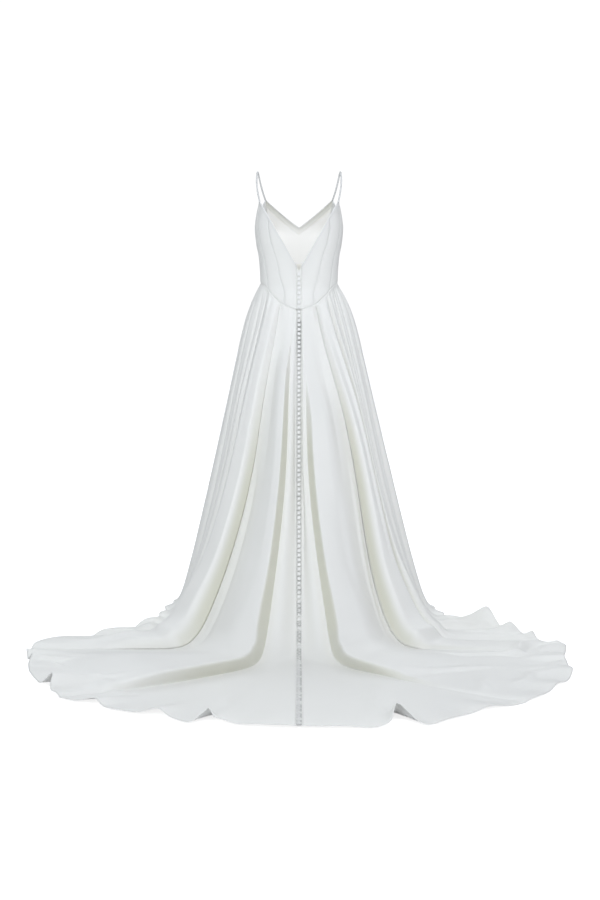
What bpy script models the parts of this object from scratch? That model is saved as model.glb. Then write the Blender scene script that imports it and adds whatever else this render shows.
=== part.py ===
"""Wedding dress with straps, a V back, a pointed waist, a pleated skirt, covered buttons and a train.

The dress keeps the form of a general figure and is hollow. The front faces -Y, the wearer's left
is +X, and the origin lies midway between the tops of the two straps. Tables give heights above the
floor, so a point's Z is its height less SHOULDER_HEIGHT.
"""

import math

import bmesh
import bpy
import numpy as np
from mathutils import Vector

# Driving dimensions in metres
SHOULDER_HEIGHT = 1.432
BODICE_WALL = 0.0022
LINING_WALL = 0.0012
SKIRT_WALL = 0.0018
SEAM_GAP = 0.0003
BINDING_RADIUS = 0.0015
STRAP_RADIUS = 0.0025
PLACKET_HALF = 0.0080
BUTTON_RADIUS = 0.0050
BUTTON_PITCH = 0.0150
BUTTON_HEIGHT = 0.0045
BUTTON_CROWN = 0.74
BUTTON_SIDES = 6
BUTTON_SEAT = 0.0006
BODICE_BUTTONS = 8
FACING_WIDTH = 0.022
FACING_ROWS = 2
LINING_GAP = 0.0005
LINING_INSET = 0.0025
WAIST_LIFT = 0.0009
PEAK_TRIM = 0.0060
PLACKET_TRIM = 0.0005
STRAP_STEPS = 24
PANEL_TURN_RADIUS = 0.11
HALVINGS = 40
COLLECTION = "wedding_dress"

# Bodice form: height, half width, depth behind the side line and depth in front of it
BODY_COLUMNS = ("height", "half_width", "back", "front")
BODY = [
    (0.940, 0.160, 0.104, 0.110),
    (0.975, 0.150, 0.099, 0.104),
    (1.020, 0.139, 0.092, 0.096),
    (1.062, 0.125, 0.087, 0.091),
    (1.100, 0.126, 0.088, 0.094),
    (1.150, 0.130, 0.091, 0.100),
    (1.200, 0.139, 0.095, 0.108),
    (1.247, 0.143, 0.096, 0.114),
    (1.290, 0.138, 0.092, 0.108),
    (1.345, 0.131, 0.084, 0.096),
]
BODY_SQUARENESS = 0.88
BUST = {"angle": 143.0, "height": 1.232, "out": 0.016, "wide": 17.0, "tall": 0.040}

# Waist seam: angle from the centre back in degrees, height
WAIST_COLUMNS = ("angle", "height")
WAIST = [
    (0.0, 0.982),
    (17.5, 0.999),
    (33.5, 1.025),
    (65.0, 1.061),
    (92.0, 1.067),
    (120.0, 1.056),
    (147.0, 1.020),
    (168.0, 0.984),
    (180.0, 0.974),
]

# Bodice seams: height, then the angle of each seam in degrees from the centre back
SEAM_COLUMNS = ("height", "back", "side_back", "side", "front")
SEAMS = [
    (0.960, 15.0, 44.0, 92.0, 158.0),
    (1.030, 17.5, 48.0, 92.0, 157.0),
    (1.075, 25.0, 53.0, 92.0, 156.0),
    (1.134, 31.0, 58.0, 92.0, 153.0),
    (1.200, 38.5, 64.5, 92.0, 147.0),
    (1.250, 41.5, 68.0, 92.0, 141.0),
    (1.300, 44.0, 71.5, 92.0, 132.0),
    (1.345, 46.0, 74.5, 92.0, 124.0),
]

# Upper edge: the V back, the armhole between the two strap points, and the front neck
BACK_V = {"low": 1.106, "peak_x": 0.131, "peak": 1.336}
FRONT_V = {"low": 1.252, "peak_x": 0.111, "peak": 1.341, "curve": 1.08}
BACK_PEAK_ANGLE = 74.0
FRONT_PEAK_ANGLE = 124.5
ARMHOLE_COLUMNS = ("angle", "height")
ARMHOLE = [
    (74.0, 1.336),
    (80.0, 1.302),
    (90.0, 1.273),
    (100.0, 1.268),
    (110.0, 1.290),
    (117.0, 1.318),
    (124.5, 1.341),
]

# Strap over the left shoulder between the back and the front peak: x, y, height
STRAP = [
    (0.1340, 0.0230, 1.3650),
    (0.1372, 0.0130, 1.4000),
    (0.1360, 0.0000, 1.4240),
    (0.1345, -0.0080, 1.4295),
    (0.1325, -0.0160, 1.4240),
    (0.1275, -0.0270, 1.4000),
    (0.1190, -0.0430, 1.3670),
]

# Skirt hang: drop from waist to floor, and how far out the cloth has come by then
HANG_COLUMNS = ("drop", "back", "side", "front")
HANG = [
    (0.00, 0.000, 0.000, 0.000),
    (0.05, 0.028, 0.090, 0.050),
    (0.12, 0.080, 0.175, 0.120),
    (0.20, 0.145, 0.240, 0.200),
    (0.32, 0.235, 0.330, 0.310),
    (0.50, 0.345, 0.465, 0.460),
    (0.65, 0.460, 0.580, 0.600),
    (0.80, 0.610, 0.705, 0.750),
    (0.90, 0.745, 0.805, 0.860),
    (0.96, 0.850, 0.885, 0.930),
    (1.00, 1.000, 1.000, 1.000),
]

# Fold lines around the skirt: each is a crease from the waist to the floor and out to the hem.
# waist is an angle in degrees, floor and hem are places on the floor, and bow is how far the
# crease swings back between them. The cloth stands out between this crease and the next: puff at
# its fullest, hem_puff at the hem. It starts at the stage start, rises and falls over these shares
# of the way across, and leans back over this crease, or over the next one where lean is below
# zero. steps is the number of mesh columns in between. Lengths are in metres.
FOLD_COLUMNS = (
    "name", "waist", "floor_x", "floor_y", "hem_x", "hem_y", "bow",
    "puff", "hem_puff", "start", "rise", "fall", "lean", "steps",
)
FOLDS = [
    ("centre_back", 0.0, 0.000, 0.700, 0.000, 1.360, 0.0, 0.004, 0.004, 0.00, 0.50, 0.50, 0.0, 4),
    ("left_1", 6.5, 0.132, 0.758, 0.600, 1.105, 0.03, 0.060, 0.010, 0.08, 0.15, 0.60, 1.1, 6),
    ("left_2", 22.0, 0.362, 0.548, 0.790, 0.545, 0.0, 0.046, 0.024, 0.00, 0.20, 0.50, 0.9, 5),
    ("left_3", 51.0, 0.408, 0.365, 0.620, 0.360, 0.0, 0.030, 0.026, 0.00, 0.30, 0.45, 0.6, 4),
    ("left_4", 62.0, 0.415, 0.250, 0.510, 0.275, 0.0, 0.026, 0.022, 0.00, 0.35, 0.40, 0.0, 4),
    ("left_5", 75.0, 0.420, 0.140, 0.460, 0.150, 0.0, 0.026, 0.020, 0.00, 0.40, 0.40, 0.0, 4),
    ("left_6", 92.0, 0.415, 0.020, 0.438, 0.022, 0.0, 0.026, 0.022, 0.00, 0.40, 0.35, 0.0, 4),
    ("left_7", 108.0, 0.392, -0.095, 0.410, -0.100, 0.0, 0.032, 0.028, 0.00, 0.35, 0.40, 0.0, 4),
    ("left_8", 123.0, 0.345, -0.195, 0.360, -0.204, 0.0, 0.028, 0.024, 0.00, 0.45, 0.35, 0.0, 4),
    ("left_9", 138.0, 0.272, -0.270, 0.283, -0.282, 0.0, 0.034, 0.030, 0.00, 0.35, 0.45, 0.0, 4),
    ("left_10", 152.0, 0.180, -0.322, 0.187, -0.337, 0.0, 0.030, 0.026, 0.00, 0.30, 0.45, 0.0, 4),
    ("left_11", 165.0, 0.090, -0.350, 0.093, -0.365, 0.0, 0.012, 0.010, 0.00, 0.40, 0.50, 0.0, 3),
    ("centre_front", 180.0, 0.0, -0.357, 0.0, -0.372, 0.0, 0.012, 0.010, 0.00, 0.50, 0.40, 0.0, 3),
    ("right_11", 194.0, -0.082, -0.350, -0.085, -0.365, 0.0, 0.024, 0.022, 0.00, 0.45, 0.35, 0.0, 4),
    ("right_10", 207.0, -0.172, -0.325, -0.179, -0.340, 0.0, 0.034, 0.030, 0.00, 0.45, 0.35, 0.0, 4),
    ("right_9", 221.0, -0.262, -0.277, -0.272, -0.289, 0.0, 0.027, 0.024, 0.00, 0.35, 0.40, 0.0, 4),
    ("right_8", 236.0, -0.338, -0.203, -0.352, -0.212, 0.0, 0.032, 0.028, 0.00, 0.40, 0.35, 0.0, 4),
    ("right_7", 251.0, -0.388, -0.105, -0.405, -0.110, 0.0, 0.027, 0.022, 0.00, 0.35, 0.40, 0.0, 4),
    ("right_6", 267.0, -0.415, 0.010, -0.436, 0.012, 0.0, 0.025, 0.020, 0.00, 0.40, 0.40, 0.0, 4),
    ("right_5", 280.0, -0.422, 0.110, -0.462, 0.120, 0.0, 0.022, 0.020, 0.00, 0.40, 0.35, 0.0, 4),
    ("right_4", 291.0, -0.415, 0.200, -0.520, 0.225, 0.0, 0.028, 0.032, 0.00, 0.45, 0.30, -0.3, 4),
    ("right_3", 302.0, -0.405, 0.285, -0.600, 0.325, 0.0, 0.034, 0.026, 0.00, 0.45, 0.25, -0.7, 4),
    ("right_2b", 319.0, -0.365, 0.415, -0.685, 0.440, 0.0, 0.036, 0.020, 0.00, 0.45, 0.25, -0.9, 4),
    ("right_2", 341.0, -0.325, 0.545, -0.768, 0.585, 0.0, 0.060, 0.010, 0.00, 0.60, 0.15, -1.1, 6),
    ("right_1", 353.5, -0.124, 0.744, -0.560, 1.150, 0.02, 0.004, 0.004, 0.00, 0.50, 0.50, 0.0, 4),
]

# How full a fold is on its way down: stage is 0 at the waist and 1 at the floor
FULLNESS_COLUMNS = ("stage", "share")
FULLNESS = [
    (0.00, 0.00),
    (0.02, 0.16),
    (0.06, 0.28),
    (0.12, 0.36),
    (0.30, 0.56),
    (0.50, 0.76),
    (0.85, 1.00),
    (1.00, 0.85),
]
FOLD_ROUNDNESS = 2.2
FOLD_START_LENGTH = 0.15
FOLD_TO_WIDTH = 0.45
FLOOR_SETTLE = 0.55
LEAN_FADES = (0.72, 1.12)
SHORT_TRAIN = 0.12
SKIRT_ROWS = 18
HANG_SAMPLES = 241
FLOOR_SAMPLES = 121
PATH_SAMPLES = 361
BEND_SOFTENING = 140
BACK_TO_SIDE = (50.0, 85.0)
SIDE_TO_FRONT = (95.0, 145.0)
NEAR_PLACE = 0.02
NEAR_SHARE = 0.006
LYING_SIDE = 0.5
COLUMN_EASE = 0.55
ROW_SAMPLES = 401
BUTTON_NEAR = 0.004
PLACKET_SAMPLES = 241

# Where mesh rows crowd together on the way from waist to hem: share of the way, spread, how much
ROW_CROWDS = [
    (0.00, 0.06, 2.2),
    (0.64, 0.12, 0.9),
    (1.00, 0.05, 0.6),
]

# Gores of the skirt: node name, first and last fold line
GORES = [
    ("skirt_back_left", "centre_back", "left_2"),
    ("skirt_side_back_left", "left_2", "left_6"),
    ("skirt_side_front_left", "left_6", "left_9"),
    ("skirt_front", "left_9", "right_9"),
    ("skirt_side_front_right", "right_9", "right_6"),
    ("skirt_side_back_right", "right_6", "right_2"),
    ("skirt_back_right", "right_2", "centre_back"),
]

# Bodice panels of each side: node name, first and last seam, mesh columns and rows
BODICE_PANELS = [
    ("bodice_back", "placket", "back", 4, 6),
    ("bodice_side_back", "back", "side_back", 4, 6),
    ("bodice_side", "side_back", "side", 5, 6),
    ("bodice_side_front", "side", "front", 7, 6),
]

FRONT_PANEL = ("front", "middle_front", 5, 6)

# Skirt placket: node name, first and last button cell as shares of the whole row
PLACKETS = [
    ("placket_skirt_upper", 0.00, 0.33),
    ("placket_skirt_lower", 0.33, 0.66),
    ("placket_train", 0.66, 1.00),
]

# Finishes: colour, roughness, metallic
FINISHES = {
    "satin_bodice": ((0.86, 0.87, 0.88), 0.38, 0.0),
    "satin_skirt": ((0.87, 0.88, 0.89), 0.36, 0.0),
    "satin_piping": ((0.90, 0.90, 0.90), 0.34, 0.0),
    "lining": ((0.84, 0.83, 0.80), 0.55, 0.0),
    "facing": ((0.74, 0.74, 0.72), 0.55, 0.0),
    "covered_button": ((0.88, 0.89, 0.90), 0.34, 0.0),
}


def column(table, names, name):
    """One named column of a table as an array."""
    place = names.index(name)
    return np.array([row[place] for row in table], dtype=float)


def smooth(xs, ys, x):
    """Smooth curve through the points (xs, ys) that never overshoots them."""
    slope = np.diff(ys) / np.diff(xs)
    tangent = np.zeros(len(ys))
    before, after = slope[:-1], slope[1:]
    turns = before * after <= 0.0
    total = np.where(turns, 1.0, before + after)
    tangent[1:-1] = np.where(turns, 0.0, 2.0 * before * after / total)
    tangent[0], tangent[-1] = slope[0], slope[-1]
    x = np.clip(x, xs[0], xs[-1])
    i = np.clip(np.searchsorted(xs, x) - 1, 0, len(xs) - 2)
    span = xs[i + 1] - xs[i]
    t = (x - xs[i]) / span
    a = (1.0 + 2.0 * t) * (1.0 - t) ** 2 * ys[i] + t * (1.0 - t) ** 2 * span * tangent[i]
    b = t * t * (3.0 - 2.0 * t) * ys[i + 1] + t * t * (t - 1.0) * span * tangent[i + 1]
    return a + b


def round_trip(values, place, wrap=0.0):
    """Smooth closed curve through one value per fold line; wrap is added at each full turn."""
    count = len(values)
    whole = np.floor(place).astype(int)
    t = place - whole
    p = [values[(whole + k) % count] + wrap * ((whole + k) // count) for k in (-1, 0, 1, 2)]
    line = 2.0 * p[1] + (p[2] - p[0]) * t
    bend = (2.0 * p[0] - 5.0 * p[1] + 4.0 * p[2] - p[3]) * t**2
    twist = (3.0 * p[1] - p[0] - 3.0 * p[2] + p[3]) * t**3
    return 0.5 * (line + bend + twist)


def unit(vectors):
    """Vectors brought to length one."""
    return vectors / np.maximum(np.linalg.norm(vectors, axis=-1, keepdims=True), 1e-12)


def signed_power(value, power):
    """Power that keeps the sign of its base."""
    return np.sign(value) * np.abs(value) ** power


def body_form(angle, height):
    """Point of the bodice's outer form; angle in degrees from the centre back to the left."""
    heights = column(BODY, BODY_COLUMNS, "height")
    half = smooth(heights, column(BODY, BODY_COLUMNS, "half_width"), height)
    back = smooth(heights, column(BODY, BODY_COLUMNS, "back"), height)
    front = smooth(heights, column(BODY, BODY_COLUMNS, "front"), height)
    turn = np.radians(angle)
    depth = np.where(np.cos(turn) > 0.0, back, front)
    from_front = np.abs((angle % 360.0) - 180.0)
    across = (from_front - (180.0 - BUST["angle"])) / BUST["wide"]
    along = (height - BUST["height"]) / BUST["tall"]
    cup = BUST["out"] * np.exp(-(across**2) - along**2)
    x = half * signed_power(np.sin(turn), BODY_SQUARENESS) + cup * np.sin(turn)
    y = depth * signed_power(np.cos(turn), BODY_SQUARENESS) + cup * np.cos(turn)
    return np.stack([x, y, height + 0.0 * x], axis=-1)


def body_point(angle, height, out=0.0):
    """Point of the bodice's form, moved out along its normal."""
    angle = np.asarray(angle, dtype=float)
    height = np.asarray(height, dtype=float)
    around = body_form(angle + 0.5, height) - body_form(angle - 0.5, height)
    up = body_form(angle, height + 0.002) - body_form(angle, height - 0.002)
    return body_form(angle, height) + out * unit(np.cross(up, around))


def waist_height(angle):
    """Height of the waist seam at an angle of either side."""
    turned = np.asarray(angle, dtype=float) % 360.0
    folded = np.where(turned > 180.0, 360.0 - turned, turned)
    return smooth(column(WAIST, WAIST_COLUMNS, "angle"), column(WAIST, WAIST_COLUMNS, "height"), folded)


def upper_edge(angle, height):
    """Height of the neck or armhole edge on the left half; x is taken at the given height."""
    x = body_form(np.array(angle), np.array(height))[0]
    if angle < BACK_PEAK_ANGLE:
        return BACK_V["low"] + (BACK_V["peak"] - BACK_V["low"]) * x / BACK_V["peak_x"]
    if angle > FRONT_PEAK_ANGLE:
        share = (max(x, 0.0) / FRONT_V["peak_x"]) ** FRONT_V["curve"]
        return FRONT_V["low"] + (FRONT_V["peak"] - FRONT_V["low"]) * share
    angles = column(ARMHOLE, ARMHOLE_COLUMNS, "angle")
    return float(smooth(angles, column(ARMHOLE, ARMHOLE_COLUMNS, "height"), angle))


def crossing(function, low, high):
    """Height between low and high at which the falling function is zero."""
    for _ in range(HALVINGS):
        middle = 0.5 * (low + high)
        if function(middle) > 0.0:
            low = middle
        else:
            high = middle
    return 0.5 * (low + high)


def body_column(name):
    """Heights and one column of the bodice's form."""
    return column(BODY, BODY_COLUMNS, "height"), column(BODY, BODY_COLUMNS, name)


def seam_angle(name, height):
    """Angle of a bodice seam on the left side at a height."""
    if name == "middle_back":
        return 0.0
    if name == "middle_front":
        return 180.0
    if name == "placket":
        half = float(smooth(*body_column("half_width"), height))
        return math.degrees(math.asin((PLACKET_HALF / half) ** (1.0 / BODY_SQUARENESS)))
    heights = column(SEAMS, SEAM_COLUMNS, "height")
    return float(smooth(heights, column(SEAMS, SEAM_COLUMNS, name), height))


def panel_points(first, last, columns, rows, out=0.0):
    """Grid of points of a left bodice panel between two seams, from the waist to the upper edge.

    Two rows more than asked mark out a band of the facing's width along the upper edge.
    """
    half_gap = math.degrees(0.5 * SEAM_GAP / PANEL_TURN_RADIUS)
    low_gap = 0.0 if first.startswith("middle") else half_gap
    high_gap = 0.0 if last.startswith("middle") else half_gap
    grid = []
    for share in np.linspace(0.0, 1.0, columns + 1):

        def angle_at(height, share=share):
            low = seam_angle(first, height) + low_gap
            high = seam_angle(last, height) - high_gap
            return low + (high - low) * share

        top = crossing(lambda h: upper_edge(angle_at(h), h) - h, 1.08, 1.36)
        low = crossing(lambda h: float(waist_height(angle_at(h))) - h, 0.94, 1.12) + WAIST_LIFT
        facing = np.linspace(top - FACING_WIDTH, top, FACING_ROWS + 1)
        heights = np.concatenate([np.linspace(low, facing[0], rows + 1)[:-1], facing])
        angles = np.array([angle_at(h) for h in heights])
        grid.append(body_point(angles, heights, out))
    return np.array(grid)


def eased(steps):
    """Shares from 0 to 1 that lie closer together near both ends."""
    t = np.linspace(0.0, 1.0, steps + 1)
    return (1.0 - COLUMN_EASE) * t + COLUMN_EASE * 0.5 * (1.0 - np.cos(math.pi * t))


def mirrored(grid):
    """The same grid on the wearer's right, with its columns still in turning order."""
    return grid[::-1] * np.array([-1.0, 1.0, 1.0])


def both_halves(half):
    """A left half that ends at the middle, and its mirror image, as one grid."""
    other = mirrored(half)
    if abs(half[-1, 0, 0]) < abs(half[0, 0, 0]):
        return np.concatenate([half, other[1:]])
    return np.concatenate([other, half[1:]])


def finish(name, base):
    """Material of one piece, in one of the finishes."""
    colour, roughness, metallic = FINISHES[base]
    material = bpy.data.materials.new(name + "_" + base)
    material.use_nodes = True
    shader = material.node_tree.nodes["Principled BSDF"]
    shader.inputs["Base Color"].default_value = (*colour, 1.0)
    shader.inputs["Roughness"].default_value = roughness
    shader.inputs["Metallic"].default_value = metallic
    return material


def in_part_frame(points):
    """Points with heights above the floor, brought into the part's own frame."""
    return np.asarray(points) - np.array([0.0, 0.0, SHOULDER_HEIGHT])


def add_piece(name, data, base):
    """Put mesh or curve data into the dress's collection as one named piece."""
    piece = bpy.data.objects.new(name, data)
    bpy.data.collections[COLLECTION].objects.link(piece)
    data.materials.append(finish(name, base))
    return piece


def add_cloth(name, grid, wall, base, downward=False, outward=False):
    """Cloth wall on a grid of points; downward says that its rows run down.

    The grid is the wall's outer face, or its inner one where the wall grows outward.
    """
    columns, rows = grid.shape[:2]
    faces = []
    for i in range(columns - 1):
        for j in range(rows - 1):
            a, b = i * rows + j, (i + 1) * rows + j
            face = (a, b, b + 1, a + 1)
            faces.append(face if downward else face[::-1])
    mesh = bpy.data.meshes.new(name)
    mesh.from_pydata(in_part_frame(grid.reshape(-1, 3)).tolist(), [], faces)
    mesh.shade_smooth()
    piece = add_piece(name, mesh, base)
    shell = piece.modifiers.new("cloth wall", "SOLIDIFY")
    shell.thickness = wall
    shell.offset = 1.0 if outward else -1.0
    shell.use_rim = True
    return piece


def add_tube(name, points, radius, base):
    """Round cord of cloth along a line of points, with filled ends."""
    data = bpy.data.curves.new(name, "CURVE")
    data.dimensions = "3D"
    data.bevel_depth = radius
    data.bevel_resolution = 1
    data.use_fill_caps = True
    line = data.splines.new("POLY")
    line.points.add(len(points) - 1)
    for point, place in zip(line.points, in_part_frame(points)):
        point.co = (*place, 1.0)
    return add_piece(name, data, base)


def bodice():
    """The nine panels of the bodice, which grow outward from their inner face."""
    for name, first, last, columns, rows in BODICE_PANELS:
        grid = panel_points(first, last, columns, rows, -BODICE_WALL)
        add_cloth(name + "_left", grid, BODICE_WALL, "satin_bodice", outward=True)
        add_cloth(name + "_right", mirrored(grid), BODICE_WALL, "satin_bodice", outward=True)
    whole = both_halves(panel_points(*FRONT_PANEL, -BODICE_WALL))
    add_cloth("bodice_front", whole, BODICE_WALL, "satin_bodice", outward=True)


def between(start, end, length):
    """Points on the way from one row of points to another, at a length from the first."""
    return start + unit(end - start) * length


def front_inside():
    """The lining of the bodice front and the facing along its neck, which show from behind."""
    inside = both_halves(panel_points(*FRONT_PANEL, -(BODICE_WALL + LINING_GAP + LINING_WALL)))
    lining = inside[:, : -FACING_ROWS].copy()
    lining[:, 0] = between(lining[:, 0], lining[:, 1], LINING_INSET)
    lining[:, -1] = between(lining[:, -1], lining[:, -2], SEAM_GAP)
    add_cloth("front_lining", lining, LINING_WALL, "lining", outward=True)
    facing = inside[:, -FACING_ROWS - 1 :].copy()
    facing[:, -1] = between(facing[:, -1], facing[:, -2], LINING_INSET)
    add_cloth("front_facing", facing, LINING_WALL, "facing", outward=True)


def edge_line(*panels, mirror_end=False):
    """Line of a binding's middle just above the upper edges of left panels, given as seam pairs.

    mirror_end says that the line meets its own mirror image at its last point.
    """
    middles, uprights = [], []
    for first, last, columns, rows in panels:
        grid = panel_points(first, last, columns, rows, -0.5 * BODICE_WALL)
        start = 1 if middles else 0
        middles += list(grid[start:, -1])
        uprights += list(unit(grid[start:, -1] - grid[start:, -2]))
    middles, uprights = np.array(middles), np.array(uprights)
    spans = unit(np.diff(middles, axis=0))
    after = spans[-1] * np.array([1.0, -1.0, -1.0]) if mirror_end else spans[-1]
    before = np.concatenate([spans[:1], spans])
    after = np.concatenate([spans, after[None]])
    along = unit(before + after)
    away = unit(uprights - np.sum(uprights * along, axis=1, keepdims=True) * along)
    mitre = 1.0 / np.sum(before * along, axis=1, keepdims=True)
    return middles + away * mitre * (BINDING_RADIUS + SEAM_GAP)


def trimmed(points, start, end):
    """A line of points shortened by start and end metres."""
    lengths = np.concatenate([[0.0], np.cumsum(np.linalg.norm(np.diff(points, axis=0), axis=1))])
    keep = lengths[(lengths > start + BINDING_RADIUS) & (lengths < lengths[-1] - end - BINDING_RADIUS)]
    marks = np.concatenate([[start], keep, [lengths[-1] - end]])
    return np.stack([np.interp(marks, lengths, points[:, k]) for k in range(3)], axis=1)


def bindings():
    """The narrow bindings along the neck and the armholes."""
    flip = np.array([-1.0, 1.0, 1.0])
    panels = {name: (first, last, columns, rows) for name, first, last, columns, rows in BODICE_PANELS}
    back = edge_line(panels["bodice_back"], panels["bodice_side_back"])
    back = trimmed(back, PLACKET_TRIM, PEAK_TRIM)
    armhole = edge_line(panels["bodice_side"], panels["bodice_side_front"])
    armhole = trimmed(armhole, PEAK_TRIM, PEAK_TRIM)
    for side, sign in (("left", 1.0), ("right", -1.0)):
        turn = flip if sign < 0.0 else np.ones(3)
        add_tube("binding_back_" + side, back * turn, BINDING_RADIUS, "satin_piping")
        add_tube("binding_armhole_" + side, armhole * turn, BINDING_RADIUS, "satin_piping")
    half = edge_line(FRONT_PANEL, mirror_end=True)
    front = np.concatenate([half, half[-2::-1] * flip])
    add_tube("binding_front", trimmed(front, PEAK_TRIM, PEAK_TRIM), BINDING_RADIUS, "satin_piping")


def strap_seat(panel, neighbour, toward):
    """Middle of a strap's end just above the peak where two left panels meet."""
    corners = [panel_points(*panel, -0.5 * BODICE_WALL)[-1, -1]]
    corners.append(panel_points(*neighbour, -0.5 * BODICE_WALL)[0, -1])
    seat = np.array([*np.mean(corners, axis=0)[:2], max(corner[2] for corner in corners)])
    rise = unit(toward - seat)[2]
    return seat + np.array([0.0, 0.0, SEAM_GAP + STRAP_RADIUS * math.sqrt(1.0 - rise * rise)])


def straps():
    """The two spaghetti straps, on a smooth curve through the strap's places."""
    panels = {name: (first, last, columns, rows) for name, first, last, columns, rows in BODICE_PANELS}
    places = np.array(STRAP)
    back = strap_seat(panels["bodice_side_back"], panels["bodice_side"], places[0])
    front = strap_seat(panels["bodice_side_front"], FRONT_PANEL, places[-1])
    places = np.concatenate([back[None], places, front[None]])
    spans = np.linalg.norm(np.diff(places, axis=0), axis=1)
    marks = np.concatenate([[0.0], np.cumsum(spans)])
    fine = np.linspace(0.0, marks[-1], STRAP_STEPS + 1)
    line = np.stack([smooth(marks, places[:, k], fine) for k in range(3)], axis=1)
    add_tube("strap_left", line, STRAP_RADIUS, "satin_piping")
    add_tube("strap_right", line * np.array([-1.0, 1.0, 1.0]), STRAP_RADIUS, "satin_piping")


def bodice_placket():
    """The strip that closes the bodice at the centre back, with its covered buttons."""
    strip = both_halves(panel_points("middle_back", "placket", 1, 6, -BODICE_WALL))
    add_cloth("placket_bodice", strip, BODICE_WALL, "satin_bodice", outward=True)
    low = WAIST[0][1] + 0.5 * BUTTON_PITCH
    for number in range(BODICE_BUTTONS):
        height = low + number * BUTTON_PITCH
        middle = body_point(0.0, height, BUTTON_SEAT + 0.5 * BUTTON_HEIGHT)
        outward = unit(body_point(0.0, height, 0.01) - body_point(0.0, height))
        name = f"button_{number + 1:02d}"
        mesh = bpy.data.meshes.new(name)
        shape = bmesh.new()
        bmesh.ops.create_cone(
            shape,
            cap_ends=True,
            segments=BUTTON_SIDES + 2,
            radius1=BUTTON_RADIUS,
            radius2=BUTTON_CROWN * BUTTON_RADIUS,
            depth=BUTTON_HEIGHT,
        )
        shape.to_mesh(mesh)
        shape.free()
        mesh.shade_smooth()
        mesh.set_sharp_from_angle(angle=math.radians(40.0))
        button = add_piece(name, mesh, "covered_button")
        button.location = in_part_frame(middle)
        button.rotation_mode = "QUATERNION"
        button.rotation_quaternion = Vector((0.0, 0.0, 1.0)).rotation_difference(Vector(outward))


def fold_values(name):
    """One column of the fold table."""
    return column(FOLDS, FOLD_COLUMNS, name)


def ramp(value, low, high):
    """Soft step from 0 at low to 1 at high."""
    t = np.clip((value - low) / (high - low), 0.0, 1.0)
    return t * t * (3.0 - 2.0 * t)


def skirt_base(place, share):
    """Skirt without its folds: place is a position in the fold table, share runs waist to hem.

    Returns the points and how far each has come: 0 at the waist, 1 at the floor, 2 at the hem.
    """
    waist = round_trip(fold_values("waist"), place, 360.0)
    start = body_form(waist, waist_height(waist) - 0.7 * SEAM_GAP)
    floor = np.stack([round_trip(fold_values(k), place) for k in ("floor_x", "floor_y")], axis=1)
    hem = np.stack([round_trip(fold_values(k), place) for k in ("hem_x", "hem_y")], axis=1)
    facing = np.degrees(np.arctan2(np.abs(floor[:, 0]), floor[:, 1]))
    weights = {"back": 1.0 - ramp(facing, *BACK_TO_SIDE), "front": ramp(facing, *SIDE_TO_FRONT)}
    weights["side"] = 1.0 - weights["back"] - weights["front"]
    drop = np.linspace(0.0, 1.0, HANG_SAMPLES)
    drops = column(HANG, HANG_COLUMNS, "drop")
    out = sum(weights[k][:, None] * smooth(drops, column(HANG, HANG_COLUMNS, k), drop) for k in weights)
    hang = start[:, None, :2] + (floor - start[:, :2])[:, None, :] * out[..., None]
    height = start[:, 2:3] * (1.0 - drop) + SKIRT_WALL * drop
    hang = np.concatenate([hang, height[..., None]], axis=2)
    run = np.linspace(0.0, 1.0, FLOOR_SAMPLES)[1:]
    lying = floor[:, None, :] + (hem - floor)[:, None, :] * run[None, :, None]
    lying[..., 1] += 4.0 * round_trip(fold_values("bow"), place)[:, None] * run * (1.0 - run)
    lying = np.concatenate([lying, np.full(lying.shape[:2] + (1,), SKIRT_WALL)], axis=2)
    path = np.concatenate([hang, lying], axis=1)
    stage = np.broadcast_to(np.concatenate([drop, 1.0 + run]), path.shape[:2])
    path, stage = spaced(path, stage, np.linspace(0.0, 1.0, PATH_SAMPLES))
    for _ in range(BEND_SOFTENING):
        path[:, 1:-1] = 0.25 * path[:, :-2] + 0.5 * path[:, 1:-1] + 0.25 * path[:, 2:]
    return spaced(path, stage, share)


def spaced(path, stage, share):
    """Points and stages of each path at shares of its length."""
    steps = np.linalg.norm(np.diff(path, axis=1), axis=2)
    lengths = np.concatenate([np.zeros((len(path), 1)), np.cumsum(steps, axis=1)], axis=1)
    points = np.empty((len(path), len(share), 3))
    stages = np.empty((len(path), len(share)))
    for i, line in enumerate(path):
        marks = share * lengths[i, -1]
        stages[i] = np.interp(marks, lengths[i], stage[i])
        for k in range(3):
            points[i, :, k] = np.interp(marks, lengths[i], line[:, k])
    return points, stages


def fold_depth(fold, stages):
    """How far the fold after each crease stands out, at its stage on the way to the hem."""
    puff, hem = fold_values("puff")[fold][:, None], fold_values("hem_puff")[fold][:, None]
    start = fold_values("start")[fold][:, None]
    down = column(FULLNESS, FULLNESS_COLUMNS, "stage")
    hung = puff * smooth(down, column(FULLNESS, FULLNESS_COLUMNS, "share"), stages)
    hung = hung * np.where(start > 0.0, ramp(stages, start, start + FOLD_START_LENGTH), 1.0)
    return hung + (hem - hung) * ramp(stages, 1.0, 1.0 + FLOOR_SETTLE)


def side_share(inside, width, lying):
    """Share of its height that a fold has reached at a share of the way in from one side.

    The side is as wide as said while it hangs, and half of the fold where the cloth lies.
    """
    wide = width[:, None] + (LYING_SIDE - width[:, None]) * lying
    return 1.0 - np.clip(1.0 - inside[:, None] / wide, 0.0, 1.0) ** FOLD_ROUNDNESS


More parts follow.
